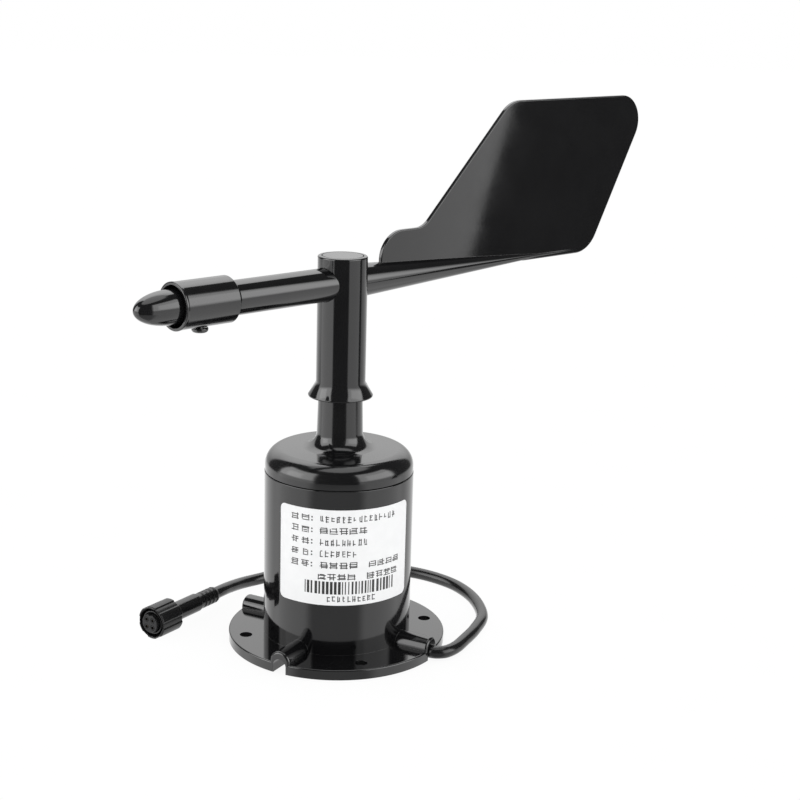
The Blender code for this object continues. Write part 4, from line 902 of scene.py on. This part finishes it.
def dress_cad_nodes(looks):
    """Procedural materials on the CAD nodes that stay as they are."""
    dressed = {
        "steel": ["capacitor", "hub_screw", "shaft", "shaft_clip"],
        "rubber": ["cover_seal", "shaft_seal", "cable_grommet", "plug_seal"],
        "satin": ["lower_bearing_retainer", "angle_sensor_chip", "microcontroller",
                  "voltage_regulator", "magnet_holder"],
        "nylon": ["wire_header", "cable_tie"], "board": ["circuit_board"],
        "brass": ["hub_insert"], "magnet": ["magnet"]}
    for i in range(1, 4):
        dressed["steel"] += [f"cover_screw_{i}", f"board_screw_{i}"]
    for place in ("upper", "lower"):
        dressed["steel"] += [f"{place}_bearing_outer_ring", f"{place}_bearing_inner_ring",
                             f"{place}_ball_cage"]
    for colour in CORES:
        dressed["core_" + colour] = ["wire_" + colour]
    for look, nodes in dressed.items():
        for node in nodes:
            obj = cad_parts[node]
            for slot in obj.material_slots:
                slot.material = looks[look]


# ---------------------------------------------------------------- studio

def within(g, value, low, high, soft=SOFT_EDGE):
    """One inside a range of degrees, nothing outside, with soft edges."""
    return g.math("MULTIPLY", g.ramp(value, low - soft, low + soft),
                  g.ramp(value, high - soft, high + soft, 1.0, 0.0))


def directions(g, ray):
    """Degrees to the right of the camera, and degrees upward, of a direction."""
    right = g.node("VectorTransform", {"Vector": (1.0, 0.0, 0.0)}, vector_type="VECTOR",
                   convert_from="CAMERA", convert_to="WORLD").outputs["Vector"]
    side = g.node("SeparateXYZ", {"Vector": right})
    toward = g.node("CombineXYZ", {"X": side.outputs["Y"],
                                   "Y": g.math("MULTIPLY", side.outputs["X"], -1.0)})
    across = g.node("VectorMath", {0: ray, 1: right}, operation="DOT_PRODUCT")
    ahead = g.node("VectorMath", {0: ray, 1: toward.outputs["Vector"]}, operation="DOT_PRODUCT")
    turn = g.math("DEGREES", g.math("ARCTAN2", across.outputs["Value"], ahead.outputs["Value"]))
    height = g.node("SeparateXYZ", {"Vector": ray}).outputs["Z"]
    return g.math("SUBTRACT", turn, AIM_RIGHT), g.math("DEGREES", g.math("ARCSINE", height))


def panels(g, turn, rise, boxes, soft=SOFT_EDGE):
    """Brightness of several upright panels round the object."""
    total = 0.0
    for left, right, bottom, top, brightness in boxes:
        share = g.math("MULTIPLY", within(g, turn, left, right, soft),
                       within(g, rise, bottom, top))
        total = g.math("ADD", total, g.math("MULTIPLY", share, brightness))
    return total


def side_table(g, turn, rise):
    """Pale surface on the right, below the softbox, with a clean far edge that leans a little."""
    left, right, bottom, top = SIDE_TABLE
    leaning = g.math("SUBTRACT", turn, g.math("MULTIPLY", rise, SIDE_LEAN))
    shown = g.math("MULTIPLY", g.ramp(turn, left - SOFT_EDGE, left + SOFT_EDGE),
                   g.ramp(leaning, right - SIDE_EDGE, right + SIDE_EDGE, 1.0, 0.0))
    glow = g.math("MULTIPLY", within(g, rise, bottom, top),
                  g.ramp(turn, right - SIDE_GLOW_RUN, right, *SIDE_GLOW))
    return g.math("MULTIPLY", shown, glow)


def backdrop(g, turn, rise):
    """Pale backdrop that brightens upward and leans over the object from behind."""
    edge, start = BACKDROP
    behind = g.math("ABSOLUTE", g.math("ADD", turn, BACKDROP_SHIFT))
    widening = g.math("MAXIMUM", g.math("SUBTRACT", rise, start), 0.0)
    reach = g.math("SUBTRACT", g.math("ADD", behind, widening), edge)
    shown = g.math("MULTIPLY", g.ramp(reach, -SOFT_EDGE, SOFT_EDGE),
                   within(g, rise, *BACKDROP_SPAN))
    glow = g.math("ADD", g.ramp(rise, *BACKDROP_LOW), g.ramp(rise, *BACKDROP_HIGH))
    return g.math("MULTIPLY", shown, glow)


def floor_material():
    """White floor. Mirror reflections see a round table top, and past it the rest of the studio."""
    made = bpy.data.materials.new("floor_white")
    made.use_nodes = True
    g = Graph(made.node_tree)
    rays = g.node("LightPath")
    spot = g.node("TexCoord").outputs["Object"]
    away = g.node("VectorMath", {0: spot}, operation="LENGTH").outputs["Value"]
    grain = g.ramp(g.noise(spot, 40.0, 3.0), 0.2, 0.8, 1.0, 1.01)
    white = g.node("Emission", {"Strength": grain}).outputs["Emission"]
    matt = g.node("BsdfDiffuse", {"Color": shade((0.97, 0.97, 0.97))}).outputs["BSDF"]
    share = g.ramp(away, MATT_FADE[0] * MM, MATT_FADE[1] * MM, FLOOR_MATT, 0.0)
    seen = g.node("MixShader", {0: share, 1: white, 2: matt}).outputs["Shader"]
    incoming = g.node("NewGeometry").outputs["Incoming"]
    ray = g.node("VectorMath", {0: incoming, 1: (-1.0, -1.0, -1.0)}, operation="MULTIPLY")
    turn, rise = directions(g, ray.outputs["Vector"])
    sheen = panels(g, turn, rise, FLOOR_SHEENS, SHEEN_EDGE)
    glow = g.node("Emission", {"Strength": g.math("ADD", FLOOR_GLOW, sheen)}).outputs["Emission"]
    clear = g.node("BsdfTransparent").outputs["BSDF"]
    near, far = FLOOR_EDGE
    past = g.ramp(away, near * MM, far * MM)
    mirrored = g.node("MixShader", {0: past, 1: glow, 2: clear}).outputs["Shader"]
    shown = g.node("MixShader", {0: rays.outputs["Is Glossy Ray"], 1: seen, 2: mirrored})
    g.node("OutputMaterial", {"Surface": shown.outputs["Shader"]})
    return made


def make_floor():
    """Plain pale floor under the object."""
    floor = cylinder("floor", *STUDIO_FLOOR, segments=96)
    floor.data.materials.append(floor_material())


def make_world():
    """White room. Its softboxes and dark screens turn with the camera and show in the gloss."""
    world = bpy.data.worlds.new("studio")
    world.use_nodes = True
    bpy.context.scene.world = world
    g = Graph(world.node_tree)
    rays = g.node("LightPath")
    turn, rise = directions(g, g.node("TexCoord").outputs["Generated"])
    boxes = g.math("ADD", panels(g, turn, rise, SOFTBOXES + TABLES), DARK)
    pale = g.math("ADD", side_table(g, turn, rise), backdrop(g, turn, rise))
    studio = g.math("ADD", boxes, pale)
    room = g.blend(rays.outputs["Is Camera Ray"], SOFT_LIGHT, 1.0)
    seen = g.blend(rays.outputs["Is Glossy Ray"], room, studio)
    light = g.node("Background", {"Color": seen})
    g.node("OutputWorld", {"Surface": light.outputs["Background"]})


def make_camera():
    """Camera at the photograph's viewing angle."""
    camera = bpy.data.cameras.new("camera")
    camera.lens = LENS
    camera.sensor_width = 36.0
    camera.clip_start = 0.01
    eye = bpy.data.objects.new("camera", camera)
    bpy.context.scene.collection.objects.link(eye)
    place = polar(EYE_DISTANCE, VIEW_AZIMUTH - 90.0, EYE_HEIGHT)
    heading = Matrix.Rotation(math.radians(VIEW_AZIMUTH - AIM_RIGHT), 4, "Z")
    tilt = Matrix.Rotation(math.radians(90.0 - AIM_DOWN), 4, "X")
    roll = Matrix.Rotation(math.radians(CAMERA_ROLL), 4, "Z")
    eye.matrix_world = Matrix.Translation(place * MM) @ heading @ tilt @ roll
    bpy.context.scene.camera = eye


def build():
    """Every piece, then the studio."""
    looks = build_materials()
    for make in (make_housing, make_cover, make_label, make_label_print, make_cable, make_nut,
                 make_plug, make_hub, make_vane, make_nose, make_sleeve, dress_cad_nodes):
        make(looks)
    make_floor()
    make_world()
    make_camera()
    bpy.context.scene.view_settings.view_transform = "Standard"


build()
